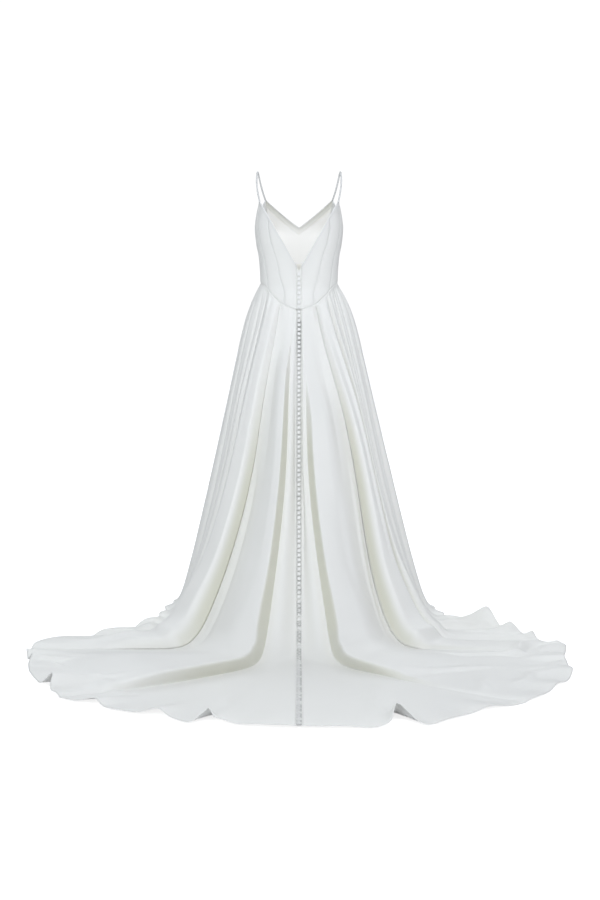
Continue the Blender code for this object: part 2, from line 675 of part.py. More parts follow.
def skirt_points(place, share):
    """Points of the skirt's outer face with its folds, and the direction around it at each."""
    place, share = np.asarray(place, dtype=float), np.asarray(share, dtype=float)
    points, stages = skirt_base(place, share)
    around = skirt_base(place + NEAR_PLACE, share)[0] - skirt_base(place - NEAR_PLACE, share)[0]
    later = skirt_base(place, np.clip(share + NEAR_SHARE, 0.0, 1.0))[0]
    earlier = skirt_base(place, np.clip(share - NEAR_SHARE, 0.0, 1.0))[0]
    around = unit(around)
    outward = unit(np.cross(around, later - earlier))
    count = len(FOLDS)
    lines = skirt_base(np.arange(count + 1.0), share)[0]
    widths = np.linalg.norm(np.diff(lines, axis=0), axis=2)
    whole = np.floor(place + 1e-9).astype(int)
    inside = np.clip(place - whole, 0.0, 1.0)
    fold = whole % count
    lying = ramp(stages, 1.0, 1.0 + FLOOR_SETTLE)
    rise = side_share(inside, fold_values("rise")[fold], lying)
    fall = side_share(1.0 - inside, fold_values("fall")[fold], lying)
    full = np.minimum(fold_depth(fold, stages), FOLD_TO_WIDTH * widths[fold])
    depth = full * rise * fall
    train = np.hypot(*(fold_values(f"hem_{k}")[fold] - fold_values(f"floor_{k}")[fold] for k in "xy"))
    upright = np.clip(1.0 - train / SHORT_TRAIN, 0.0, 1.0)
    outward[..., 2] *= (1.0 - upright)[:, None]
    lean = fold_values("lean")[fold][:, None] * (1.0 - ramp(stages, *LEAN_FADES))
    side = np.where(lean > 0.0, fold_values("rise")[fold][:, None], fold_values("fall")[fold][:, None])
    aside = np.clip(lean * full, -side * widths[fold], side * widths[fold]) * rise * fall
    return points + unit(outward) * depth[..., None] - around * aside[..., None], around


def fold_place(name):
    """Position of a fold line in the table."""
    return [row[0] for row in FOLDS].index(name)


def row_shares():
    """Shares of the way from waist to hem at which the mesh rows lie, closer where it bends."""
    fine = np.linspace(0.0, 1.0, ROW_SAMPLES)
    crowd = 1.0 + sum(much * np.exp(-(((fine - way) / spread) ** 2)) for way, spread, much in ROW_CROWDS)
    total = np.concatenate([[0.0], np.cumsum(0.5 * (crowd[1:] + crowd[:-1]))])
    return np.interp(np.linspace(0.0, total[-1], SKIRT_ROWS + 1), total, fine)


def gore_places(first, last):
    """Positions of the mesh columns of a gore, closer together beside each crease."""
    places = [float(first)]
    for fold in range(first, last):
        steps = FOLDS[fold % len(FOLDS)][FOLD_COLUMNS.index("steps")]
        places += list(fold + eased(steps)[1:])
    return np.array(places)


def skirt():
    """The seven gores of the skirt; the two at the back carry the train."""
    share = row_shares()
    half_gap = 0.5 * SEAM_GAP
    count = len(FOLDS)
    for name, first_name, last_name in GORES:
        first, last = fold_place(first_name), fold_place(last_name)
        if last <= first:
            last += count
        places = gore_places(first, last)
        grid, around = skirt_points(places, share)
        if first_name == "centre_back":
            near = np.clip(1.0 - places, 0.0, 1.0)
            grid[..., 0] += near[:, None] * (PLACKET_HALF + half_gap)
        else:
            grid[0] += half_gap * around[0]
        if last_name == "centre_back":
            near = np.clip(1.0 - (count - places), 0.0, 1.0)
            grid[..., 0] -= near[:, None] * (PLACKET_HALF + half_gap)
        else:
            grid[-1] -= half_gap * around[-1]
        add_cloth(name, grid, SKIRT_WALL, "satin_skirt", downward=True)


def button_strip(name, line, first, last):
    """Strip of the skirt's placket over button cells first to last, with its buttons fused on."""
    lengths = np.concatenate([[0.0], np.cumsum(np.linalg.norm(np.diff(line, axis=0), axis=1))])
    across = np.array([1.0, 0.0, 0.0])

    def spot(mark):
        here = np.array([np.interp(mark, lengths, line[:, k]) for k in range(3)])
        ahead = np.array([np.interp(mark + BUTTON_NEAR, lengths, line[:, k]) for k in range(3)])
        behind = np.array([np.interp(mark - BUTTON_NEAR, lengths, line[:, k]) for k in range(3)])
        along = unit(ahead - behind)
        return here, along, unit(np.cross(across, along))

    half = PLACKET_HALF - 0.5 * SEAM_GAP
    verts, faces = [], []
    for cell in range(first, last + 1):
        shift = 0.5 * SEAM_GAP * ((cell == first) - (cell == last))
        here, _, outward = spot(cell * BUTTON_PITCH + shift)
        under = here - outward * SKIRT_WALL
        verts += [here - across * half, here + across * half, under - across * half, under + across * half]
    cells = last - first
    for cell in range(cells):
        tl, tr, tl_in, tr_in = range(4 * cell, 4 * cell + 4)
        bl, br, bl_in, br_in = range(4 * cell + 4, 4 * cell + 8)
        here, along, outward = spot((first + cell + 0.5) * BUTTON_PITCH)
        base = len(verts)
        for radius, rise in ((BUTTON_RADIUS, 0.0), (BUTTON_CROWN * BUTTON_RADIUS, BUTTON_HEIGHT)):
            for corner in range(BUTTON_SIDES):
                turn = 2.0 * math.pi * corner / BUTTON_SIDES
                flat = across * math.cos(turn) + along * math.sin(turn)
                verts.append(here + radius * flat + rise * outward)
        h0, h60, h120, h180, h240, h300 = range(base, base + BUTTON_SIDES)
        top = base + BUTTON_SIDES
        faces += [(tr, br, h0), (br, h60, h0), (br, bl, h120, h60), (bl, h180, h120)]
        faces += [(bl, tl, h180), (tl, h240, h180), (tl, tr, h300, h240), (tr, h0, h300)]
        for corner in range(BUTTON_SIDES):
            after = (corner + 1) % BUTTON_SIDES
            faces.append((base + corner, base + after, top + after, top + corner))
        faces.append(tuple(range(top, top + BUTTON_SIDES)))
        faces += [(tl_in, bl_in, br_in, tr_in), (tr, tr_in, br_in, br), (tl, bl, bl_in, tl_in)]
    end = 4 * cells
    faces += [(0, 2, 3, 1), (end, end + 1, end + 3, end + 2)]
    mesh = bpy.data.meshes.new(name)
    mesh.from_pydata(in_part_frame(verts).tolist(), [], faces)
    add_piece(name, mesh, "covered_button")


def skirt_placket():
    """The strips of the centre back below the waist, down to the end of the train."""
    share = np.linspace(0.0, 1.0, PLACKET_SAMPLES)
    line = skirt_points(np.array([0.0]), share)[0][0]
    length = float(np.sum(np.linalg.norm(np.diff(line, axis=0), axis=1)))
    cells = int(length / BUTTON_PITCH)
    for name, first, last in PLACKETS:
        button_strip(name, line, round(first * cells), round(last * cells))


def main():
    """Build the dress."""
    for thing in list(bpy.data.objects):
        bpy.data.objects.remove(thing, do_unlink=True)
    collection = bpy.data.collections.new(COLLECTION)
    bpy.context.scene.collection.children.link(collection)
    bodice()
    front_inside()
    bindings()
    straps()
    bodice_placket()
    skirt()
    skirt_placket()


main()
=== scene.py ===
"""Wedding dress seen from the back: its satin, lining, bindings, straps, covered buttons and loops.

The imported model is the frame. Heights in the tables are above the floor, and the frame's origin
lies at shoulder height, midway between the tops of the straps.
"""

import math

import bmesh
import bpy
import numpy as np
from bpy.props import FloatProperty, FloatVectorProperty, IntProperty, PointerProperty
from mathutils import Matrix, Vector


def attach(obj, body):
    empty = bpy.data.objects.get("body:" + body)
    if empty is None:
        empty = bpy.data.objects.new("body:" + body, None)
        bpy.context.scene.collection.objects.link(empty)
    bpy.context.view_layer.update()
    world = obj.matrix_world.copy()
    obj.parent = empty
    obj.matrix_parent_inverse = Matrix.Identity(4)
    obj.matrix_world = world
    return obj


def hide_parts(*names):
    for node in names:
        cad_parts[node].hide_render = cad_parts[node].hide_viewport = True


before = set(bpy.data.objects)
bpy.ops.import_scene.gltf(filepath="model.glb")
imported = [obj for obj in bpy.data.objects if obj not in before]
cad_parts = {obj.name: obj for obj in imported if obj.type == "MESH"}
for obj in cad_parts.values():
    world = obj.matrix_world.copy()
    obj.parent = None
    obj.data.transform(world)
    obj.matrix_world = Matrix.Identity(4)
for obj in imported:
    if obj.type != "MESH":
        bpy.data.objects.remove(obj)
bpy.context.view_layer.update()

bl_info = {
    "name": "Wedding dress",
    "version": (1, 0, 0),
    "blender": (4, 5, 0),
    "location": "View3D > Sidebar > Wedding dress",
    "description": "Builds a satin wedding dress with a train on its packed frame",
    "category": "Object",
}

SHOULDER_HEIGHT = 1.432
FLOOR_LEVEL = -SHOULDER_HEIGHT
BODY_SQUARENESS = 0.88
HALVINGS = 40
EDGE_BETWEEN = (1.08, 1.36)
WAIST_BETWEEN = (0.94, 1.12)

# Fit of the pieces to each other
SEAM_GAP = 0.0001
SEAM_DRAW = 0.0032
CROWN_EASE = 0.012
PANEL_TURN_RADIUS = 0.11
WAIST_LIFT = -0.0004
WAIST_TUCK = 0.0004
WAIST_SETTLE = 0.010
WAIST_DIP = 0.0008
WAIST_CLEAR = 0.0025
PLACKET_HALF = 0.0080
PLACKET_SUNK = 0.0001
LINING_GAP = 0.0005
LINING_CROWN = 0.0008
FACING_WIDTH = 0.022
FACING_INSET = 0.0025
FACING_PROUD = 0.0004
STRAP_SINK = 0.001
BINDING_LIFT = 0.6

# Bodice form: height, half width, depth behind the side line and depth in front of it
BODY_COLUMNS = ("height", "half_width", "back", "front")
BODY = [
    (0.940, 0.160, 0.104, 0.110),
    (0.975, 0.150, 0.099, 0.104),
    (1.020, 0.139, 0.092, 0.096),
    (1.062, 0.125, 0.087, 0.091),
    (1.100, 0.126, 0.088, 0.094),
    (1.150, 0.130, 0.091, 0.100),
    (1.200, 0.139, 0.095, 0.108),
    (1.247, 0.143, 0.096, 0.114),
    (1.290, 0.138, 0.092, 0.108),
    (1.345, 0.131, 0.084, 0.096),
]
BUST = {"angle": 143.0, "height": 1.232, "out": 0.016, "wide": 17.0, "tall": 0.040}

# Waist seam: angle from the centre back in degrees, height
WAIST_COLUMNS = ("angle", "height")
WAIST = [
    (0.0, 0.982),
    (17.5, 0.999),
    (33.5, 1.025),
    (65.0, 1.061),
    (92.0, 1.067),
    (120.0, 1.056),
    (147.0, 1.020),
    (168.0, 0.984),
    (180.0, 0.974),
]

# Bodice seams: height, then the angle of each seam in degrees from the centre back
SEAM_COLUMNS = ("height", "back", "side_back", "side", "front")
SEAMS = [
    (0.960, 15.0, 44.0, 92.0, 158.0),
    (1.030, 17.5, 48.0, 92.0, 157.0),
    (1.075, 25.0, 53.0, 92.0, 156.0),
    (1.134, 31.0, 58.0, 92.0, 153.0),
    (1.200, 38.5, 64.5, 92.0, 147.0),
    (1.250, 41.5, 68.0, 92.0, 141.0),
    (1.300, 44.0, 71.5, 92.0, 132.0),
    (1.345, 46.0, 74.5, 92.0, 124.0),
]

# Upper edge: the V back, the armhole between the two strap points, and the front neck
BACK_V = {"low": 1.106, "peak_x": 0.131, "peak": 1.336}
FRONT_V = {"low": 1.252, "peak_x": 0.111, "peak": 1.341, "curve": 1.08}
BACK_PEAK_ANGLE = 74.0
FRONT_PEAK_ANGLE = 124.5
ARMHOLE_COLUMNS = ("angle", "height")
ARMHOLE = [
    (74.0, 1.336),
    (80.0, 1.302),
    (90.0, 1.273),
    (100.0, 1.268),
    (110.0, 1.290),
    (117.0, 1.318),
    (124.5, 1.341),
]

# Strap over the left shoulder between the back and the front peak: x, y, height
STRAP = [
    (0.1340, 0.0230, 1.3650),
    (0.1372, 0.0130, 1.4000),
    (0.1360, 0.0000, 1.4240),
    (0.1345, -0.0080, 1.4295),
    (0.1325, -0.0160, 1.4240),
    (0.1275, -0.0270, 1.4000),
    (0.1190, -0.0430, 1.3670),
]

# Skirt hang: drop from waist to floor, and how far out the cloth has come by then
HANG_COLUMNS = ("drop", "back", "side", "front")
HANG = [
    (0.00, 0.000, 0.000, 0.000),
    (0.05, 0.028, 0.090, 0.050),
    (0.12, 0.080, 0.175, 0.120),
    (0.20, 0.145, 0.240, 0.200),
    (0.32, 0.235, 0.330, 0.310),
    (0.50, 0.345, 0.465, 0.460),
    (0.65, 0.460, 0.580, 0.600),
    (0.80, 0.610, 0.705, 0.750),
    (0.90, 0.745, 0.805, 0.860),
    (0.96, 0.850, 0.885, 0.930),
    (1.00, 1.000, 1.000, 1.000),
]

# Main folds, each a crease from the waist to the floor and out to the hem. They start from the
# folds of the solids and stand out more. Sway bends a crease sideways on its way to the floor. Push
# is the way a fold stands out, in degrees from straight back, and 0 leaves it square to the skirt.
FOLD_COLUMNS = (
    "name", "waist", "floor_x", "floor_y", "hem_x", "hem_y", "bow", "sway",
    "puff", "hem_puff", "start", "rise", "fall", "push", "steps",
)
FOLDS = [
    ("centre_back", 0.0, 0.000, 0.700, 0.000, 1.380, 0.0, 0.0, 0.004, 0.004, 0.00, 0.50, 0.50, 0.0, 84),
    ("left_1", 6.0, 0.108, 0.758, 0.600, 1.105, 0.03, -0.010, 0.060, 0.010, 0.08, 0.08, 0.75, 18.0, 104),
    ("left_2", 21.5, 0.326, 0.552, 0.775, 0.545, 0.0, -0.012, 0.064, 0.010, 0.00, 0.17, 0.50, 31.0, 56),
    ("left_3", 51.0, 0.408, 0.365, 0.620, 0.360, 0.0, 0.0, 0.014, 0.014, 0.00, 0.30, 0.45, 0.0, 26),
    ("left_4", 62.0, 0.415, 0.250, 0.510, 0.275, 0.0, 0.0, 0.010, 0.022, 0.00, 0.35, 0.40, 0.0, 20),
    ("left_5", 75.0, 0.408, 0.140, 0.445, 0.150, 0.0, 0.0, 0.014, 0.020, 0.00, 0.40, 0.40, 0.0, 20),
    ("left_6", 92.0, 0.402, 0.020, 0.424, 0.022, 0.0, 0.0, 0.020, 0.022, 0.00, 0.40, 0.35, 0.0, 20),
    ("left_7", 108.0, 0.392, -0.095, 0.410, -0.100, 0.0, 0.0, 0.032, 0.028, 0.00, 0.35, 0.40, 0.0, 20),
    ("left_8", 123.0, 0.345, -0.195, 0.360, -0.204, 0.0, 0.0, 0.028, 0.024, 0.00, 0.45, 0.35, 0.0, 20),
    ("left_9", 138.0, 0.272, -0.270, 0.283, -0.282, 0.0, 0.0, 0.034, 0.030, 0.00, 0.35, 0.45, 0.0, 20),
    ("left_10", 152.0, 0.180, -0.322, 0.187, -0.337, 0.0, 0.0, 0.030, 0.026, 0.00, 0.30, 0.45, 0.0, 18),
    ("left_11", 165.0, 0.090, -0.350, 0.093, -0.365, 0.0, 0.0, 0.012, 0.010, 0.00, 0.40, 0.50, 0.0, 16),
    ("centre_front", 180.0, 0.0, -0.357, 0.0, -0.372, 0.0, 0.0, 0.012, 0.010, 0.00, 0.50, 0.40, 0.0, 16),
    ("right_11", 194.0, -0.082, -0.350, -0.085, -0.365, 0.0, 0.0, 0.024, 0.022, 0.00, 0.45, 0.35, 0.0, 18),
    ("right_10", 207.0, -0.172, -0.325, -0.179, -0.340, 0.0, 0.0, 0.034, 0.030, 0.00, 0.45, 0.35, 0.0, 18),
    ("right_9", 221.0, -0.262, -0.277, -0.272, -0.289, 0.0, 0.0, 0.027, 0.024, 0.00, 0.35, 0.40, 0.0, 20),
    ("right_8", 236.0, -0.338, -0.203, -0.352, -0.212, 0.0, 0.0, 0.032, 0.028, 0.00, 0.40, 0.35, 0.0, 20),
    ("right_7", 251.0, -0.388, -0.105, -0.405, -0.110, 0.0, 0.0, 0.027, 0.022, 0.00, 0.35, 0.40, 0.0, 20),
    ("right_6", 267.0, -0.415, 0.010, -0.436, 0.012, 0.0, 0.0, 0.025, 0.020, 0.00, 0.40, 0.40, 0.0, 20),
    ("right_5", 280.0, -0.422, 0.110, -0.462, 0.120, 0.0, 0.0, 0.016, 0.020, 0.00, 0.40, 0.35, 0.0, 20),
    ("right_4", 291.0, -0.415, 0.200, -0.540, 0.225, 0.0, 0.0, 0.022, 0.032, 0.00, 0.45, 0.30, 0.0, 22),
    ("right_3", 302.0, -0.405, 0.285, -0.625, 0.325, 0.0, 0.0, 0.040, 0.010, 0.00, 0.45, 0.20, -36.0, 28),
    ("right_2b", 319.0, -0.400, 0.415, -0.700, 0.440, 0.0, -0.012, 0.062, 0.006, 0.00, 0.45, 0.17, -31.0, 40),
    ("right_2", 341.5, -0.302, 0.548, -0.756, 0.585, 0.0, -0.030, 0.060, 0.004, 0.20, 0.60, 0.08, -18.0, 104),
    ("right_1", 356.0, -0.098, 0.744, -0.560, 1.150, 0.02, 0.016, 0.004, 0.004, 0.00, 0.50, 0.50, 0.0, 84),
]

# How full a fold is on its way down: stage is 0 at the waist, 1 at the floor and 2 at the hem
FULLNESS_COLUMNS = ("stage", "share")
FULLNESS = [
    (0.00, 0.00),
    (0.02, 0.10),
    (0.06, 0.24),
    (0.12, 0.36),
    (0.30, 0.56),
    (0.50, 0.76),
    (0.85, 1.00),
    (1.00, 0.85),
]
FOLD_ROUNDNESS = 2.2
FOLD_START_LENGTH = 0.15
FOLD_TO_WIDTH = 0.45
FLOOR_SETTLE = 0.55
LYING_SIDE = 0.5
PUSH_FADES = (0.72, 1.05)

# Folds that stay rolled over their crease on the floor: how high, how wide the steep side, how far
# the roll leans over the crease as a share of its height, and the stages between which it does.
# ROLL_RISES and ROLL_STEEPENS are stages, and the rest say over how much of one a roll comes or goes.
TRAIN_COLUMNS = ("name", "puff", "wall", "lean", "start", "end")
TRAIN_FOLDS = [
    ("left_1", 0.040, 0.030, 0.85, 0.94, 1.92),
    ("left_2", 0.034, 0.040, 0.60, 0.94, 1.70),
    ("left_3", 0.028, 0.040, 0.40, 0.94, 1.60),
    ("right_3", 0.018, 0.040, -0.40, 0.94, 1.35),
    ("right_2b", 0.022, 0.040, -0.60, 0.94, 1.42),
    ("right_2", 0.038, 0.030, -0.85, 0.94, 1.55),
]
HEM_STAGE = 2.0
ROLL_RISES = (1.0, 1.15)
ROLL_STEEPENS = (0.95, 1.15)
ROLL_EASES = 0.45
LEAN_COMES = 0.20
LEAN_GOES = 0.35
SHORT_TRAIN = 0.12
MIDDLE_RAISED = {"height": 0.0045, "width": 0.045, "stages": (0.98, 1.12)}

# Painted shade on the steep walls of the folds: share of the wall that is fully in shade, share
# where that has faded, how deep the shade is while the cloth hangs, how deep where it lies, and the
# stages over which it comes in below the waist
WALL_PAINTED_SHADES = [
    ("left_1", 0.45, 1.00, 1.00, 0.70, 0.08, 0.36),
    ("left_2", 0.14, 0.60, 0.95, 0.00, 0.20, 0.60),
    ("right_3", 0.10, 0.60, 0.60, 0.00, 0.20, 0.60),
    ("right_2b", 0.16, 0.62, 1.00, 0.30, 0.10, 0.50),
    ("right_2", 0.45, 1.00, 1.00, 0.60, 0.22, 0.50),
]
WALL_TONE_LIES = (0.92, 1.08)
WALL_TONE_ENDS = (1.25, 1.65)
HANG_SAMPLES = 241
FLOOR_SAMPLES = 121
PATH_SAMPLES = 361
BEND_SOFTENING = 140
BACK_TO_SIDE = (50.0, 85.0)
SIDE_TO_FRONT = (95.0, 145.0)
SKIRT_ROWS = 216
CUT_SHARE = 92

# Where the mesh rows of the skirt crowd: share of the way to the hem, over how much, how many more
ROW_CROWDS = [(0.00, 0.08, 1.6), (0.64, 0.12, 0.5), (1.00, 0.10, 1.0)]
ROW_SAMPLES = 801

# Smaller creases, listed one by one: places in the fold table at the start and the end, the stages
# between which they run, how wide and how deep, in metres; a depth below zero is a trough
CREASES = [
    (1.84, 1.80, 0.50, 1.02, 0.016, -0.006),
    (1.70, 1.62, 0.05, 0.60, 0.020, -0.004),
    (1.45, 1.35, 0.30, 0.95, 0.040, -0.004),
    (2.45, 2.40, 0.02, 0.50, 0.018, -0.003),
    (2.72, 2.60, 0.02, 0.45, 0.016, -0.003),
    (0.45, 0.55, 0.15, 0.85, 0.035, -0.003),
    (24.50, 24.40, 0.20, 0.90, 0.035, -0.003),
    (23.55, 23.50, 0.55, 0.85, 0.030, -0.006),
    (23.30, 23.35, 0.02, 0.55, 0.018, -0.004),
    (23.10, 23.16, 0.45, 1.02, 0.014, 0.005),
    (22.62, 22.60, 0.05, 0.80, 0.014, -0.006),
    (22.30, 22.35, 0.40, 1.00, 0.012, -0.005),
    (21.55, 21.50, 0.02, 0.75, 0.012, -0.006),
    (20.50, 20.50, 0.02, 0.80, 0.010, -0.005),
    (3.50, 3.55, 0.02, 0.45, 0.014, -0.003),
    (4.55, 4.50, 0.04, 0.60, 0.014, -0.003),
    (5.45, 5.50, 0.02, 0.55, 0.012, -0.004),
    (6.55, 6.50, 0.05, 0.85, 0.012, -0.005),
    (7.50, 7.42, 0.02, 0.60, 0.012, -0.005),
    (8.45, 8.52, 0.10, 0.90, 0.012, -0.004),
    (9.52, 9.48, 0.02, 0.65, 0.013, -0.005),
    (10.50, 10.60, 0.03, 0.80, 0.014, -0.005),
    (11.50, 11.45, 0.10, 0.95, 0.018, -0.004),
    (12.50, 12.55, 0.04, 0.70, 0.018, -0.004),
    (13.48, 13.52, 0.02, 0.85, 0.013, -0.005),
    (14.52, 14.45, 0.05, 0.65, 0.013, -0.005),
    (15.50, 15.55, 0.02, 0.80, 0.012, -0.005),
    (16.47, 16.50, 0.08, 0.60, 0.012, -0.005),
    (17.50, 17.45, 0.02, 0.85, 0.012, -0.004),
    (18.52, 18.50, 0.03, 0.55, 0.012, -0.005),
    (19.45, 19.50, 0.05, 0.90, 0.012, -0.004),
]
CREASES_START = 0.015
CREASE_FADE = 0.7

# Slow waves and waist gathers strewn over the skirt: how many, and between what each draw lies
STREWN_SEED = 7
SLOW_WAVES = {
    "count": 30, "drift": (-0.25, 0.25), "start": (0.0, 0.6), "length": (0.5, 1.1),
    "width": (0.030, 0.060), "depth": (-0.0022, 0.0022),
}
GATHERS = {
    "count": 40, "width": (0.006, 0.010), "depth": (-0.0030, -0.0012), "end": (0.05, 0.16),
    "clear_of_back": 0.9, "begins": 0.01, "widens": 0.03,
}

# Crumples of the lying train: x and y of the middle on the floor, direction in degrees from the
# side line toward the back, half length, width and height; a height below zero is a dent
CRUMPLES = [
    (-0.580, 0.266, 10.0, 0.052, 0.034, 0.038),
    (-0.545, 0.290, -22.0, 0.060, 0.010, -0.012),
    (-0.652, 0.342, 14.0, 0.040, 0.028, 0.032),
    (-0.615, 0.345, 4.0, 0.090, 0.009, 0.012),
    (-0.700, 0.415, 22.0, 0.045, 0.022, 0.020),
    (-0.735, 0.480, 30.0, 0.035, 0.012, 0.006),
    (-0.640, 0.545, 58.0, 0.085, 0.016, 0.011),
    (-0.668, 0.575, 62.0, 0.080, 0.013, -0.008),
    (-0.560, 0.610, 6.0, 0.120, 0.018, 0.006),
    (-0.500, 0.640, -4.0, 0.090, 0.012, -0.006),
    (-0.690, 0.760, 42.0, 0.060, 0.014, 0.008),
    (-0.665, 0.790, 40.0, 0.050, 0.012, -0.006),
    (-0.600, 0.900, 64.0, 0.060, 0.014, 0.007),
    (-0.480, 0.980, 78.0, 0.070, 0.016, 0.006),
    (-0.420, 0.820, 20.0, 0.110, 0.016, 0.006),
    (-0.360, 0.870, 24.0, 0.100, 0.014, -0.005),
    (0.560, 0.480, -8.0, 0.120, 0.022, 0.006),
    (0.640, 0.700, -24.0, 0.080, 0.018, 0.006),
    (0.690, 0.790, -38.0, 0.050, 0.014, 0.014),
    (0.500, 1.020, -58.0, 0.080, 0.018, 0.006),
    (0.170, 1.180, 84.0, 0.090, 0.020, 0.005),
    (-0.190, 1.120, 80.0, 0.100, 0.020, 0.005),
]
CRUMPLES_LIE = (1.06, 1.22)
CRUMPLE_SWAY = 0.075
CRUMPLE_TURNS = 3.0

# Waves of the hem on the floor: place, how wide, how high, how far inward and how sharp
HEM_WAVES = [
    (0.12, 0.070, 0.010, -0.012, 0.16),
    (0.29, 0.030, 0.012, 0.010, 0.20),
    (0.335, 0.016, 0.024, 0.040, 0.05),
    (0.36, 0.060, 0.000, -0.034, 0.10),
    (0.40, 0.060, 0.006, -0.008, 0.12),
    (0.53, 0.035, 0.016, 0.010, 0.16),
    (0.67, 0.060, 0.005, -0.010, 0.12),
    (0.82, 0.035, 0.016, 0.012, 0.16),
    (0.96, 0.050, 0.006, -0.010, 0.12),
    (1.17, 0.022, 0.034, 0.020, 0.20),
    (1.38, 0.060, 0.008, -0.006, 0.14),
    (1.62, 0.022, 0.022, 0.012, 0.16),
    (1.82, 0.040, 0.016, -0.006, 0.16),
    (24.86, 0.060, 0.008, -0.010, 0.14),
    (24.64, 0.040, 0.014, 0.010, 0.20),
    (24.615, 0.024, 0.032, 0.060, 0.07),
    (24.60, 0.100, 0.000, -0.055, 0.12),
    (23.55, 0.180, 0.000, -0.036, 0.16),
    (24.45, 0.060, 0.006, -0.012, 0.12),
    (24.20, 0.050, 0.010, 0.004, 0.14),
    (23.92, 0.060, 0.006, -0.006, 0.12),
    (23.70, 0.045, 0.010, 0.004, 0.14),
    (23.45, 0.050, 0.010, -0.006, 0.14),
    (23.20, 0.040, 0.012, 0.004, 0.16),
]
HEM_EASE = {"reach": 2.2, "narrow": 0.55, "lift": 1.3, "inward": 2}

GORES = [
    ("skirt_back_left", "centre_back", "left_2"),
    ("skirt_side_back_left", "left_2", "left_6"),
    ("skirt_side_front_left", "left_6", "left_9"),
    ("skirt_front", "left_9", "right_9"),
    ("skirt_side_front_right", "right_9", "right_6"),
    ("skirt_side_back_right", "right_6", "right_2"),
    ("skirt_back_right", "right_2", "centre_back"),
]

# Bodice panels of each side: node name, first and last seam
BODICE_PANELS = {
    "bodice_back": ("placket", "back"),
    "bodice_side_back": ("back", "side_back"),
    "bodice_side": ("side_back", "side"),
    "bodice_side_front": ("side", "front"),
}
FRONT_PANEL = ("front", "middle_front")
BACK_NECK = ("bodice_back", "bodice_side_back")
ARM_EDGE = ("bodice_side", "bodice_side_front")
PANEL_COLUMNS = 26
PANEL_ROWS = 64
PLACKET_COLUMNS = 4
FACING_ROWS = 14
EDGE_ROWS = 8
STRAP_POINTS = 90

# Skirt placket: node name, first and last button cell as shares of the whole row
PLACKETS = [
    ("placket_skirt_upper", 0.00, 0.33),
    ("placket_skirt_lower", 0.33, 0.66),
    ("placket_train", 0.66, 1.00),
]
BODICE_BUTTONS = 8

# Section of a skirt placket: place across, how far below the cloth it lies, and where it gapes
SECTION_COLUMNS = ("across", "below", "gape_across", "gape_below")
STRIP_SECTION = [
    (-0.00785, 0.0000, -0.00785, 0.0000),
    (-0.00730, -0.0001, -0.00785, 0.0000),
    (-0.00690, -0.0006, -0.00780, -0.0010),
    (-0.00660, -0.0020, -0.00775, -0.0035),
    (-0.00630, -0.0032, -0.00740, -0.0055),
    (-0.00400, -0.0034, -0.00450, -0.0060),
    (0.00000, -0.0034, 0.00000, -0.0060),
    (0.00400, -0.0034, 0.00450, -0.0060),
    (0.00630, -0.0032, 0.00740, -0.0055),
    (0.00660, -0.0020, 0.00775, -0.0035),
    (0.00690, -0.0006, 0.00780, -0.0010),
    (0.00730, -0.0001, 0.00785, 0.0000),
    (0.00785, 0.0000, 0.00785, 0.0000),
]
BUTTON_SINK = 0.0016
TRAIN_SINK = 0.0016
TRAIN_FLATTER = 0.6
STRIP_LIES = (0.20, 0.03)
STRIP_FLOOR = 0.0012
CELL_ROWS = 5
LINE_POINTS = 961
BUTTON_PROUD = 0.0002

# Half section of a covered button: share of its radius, share of its height
BUTTON_SECTION = [
    (0.60, 0.00),
    (0.86, 0.06),
    (0.98, 0.20),
    (1.00, 0.36),
    (0.94, 0.60),
    (0.80, 0.80),
    (0.58, 0.92),
    (0.30, 0.985),
]

# Button loop, half an ellipse round the foot: where its ends lie across, how far it reaches back,
# half its height, and how high it lies at its ends and more in its middle
LOOP = {"ends": 0.0068, "reach": 0.0095, "half": 0.0052, "lift": 0.0009, "rise": 0.0008, "points": 15}

# Heights between which the skirt's closure opens and closes again, and where its cloth comes to lie
GAPE_OPENS = (0.82, 0.86)
GAPE_CLOSES = (0.96, 0.94)
CLOSURE_LIES = (0.30, 0.05)

# Painted shade on the placket strip and buttons in the opening: how deep it is where the closure hangs,
# gapes and lies, its uneven waves on the train as turns per metre, start and height, and how deep it makes
# the train's buttons
OPENING_PAINTED_SHADE = {"hung": 0.45, "left_lying": 0.5, "gape": 0.7, "lying": 0.9, "uneven": 0.8, "most": 1.6}
UNEVEN_WAVES = [(118.0, 0.0, 1.0), (71.0, 1.3, 1.0), (173.0, 0.4, 0.8)]
HOLLOW_DEPTH = 0.003
BUTTON_PAINTED_SHADE = 0.75

# Shade beside a bodice seam, and under the binding of the V back as depth and reach
SEAM_TONE = {"depth": 0.16, "width": 0.012, "clear_of_placket": (0.004, 0.016)}
NECK_TONES = [(0.30, 0.010), (0.14, 0.055)]

# Shade inside the front: under the neck edge from its middle to its ends, and low behind the V back
INNER_TONE = {
    "reach": 0.010, "more_reach": 0.016, "depth": 0.45, "more_depth": 0.55,
    "corner": 0.8, "corner_width": 0.014, "corner_heights": (1.137, 1.119),
}
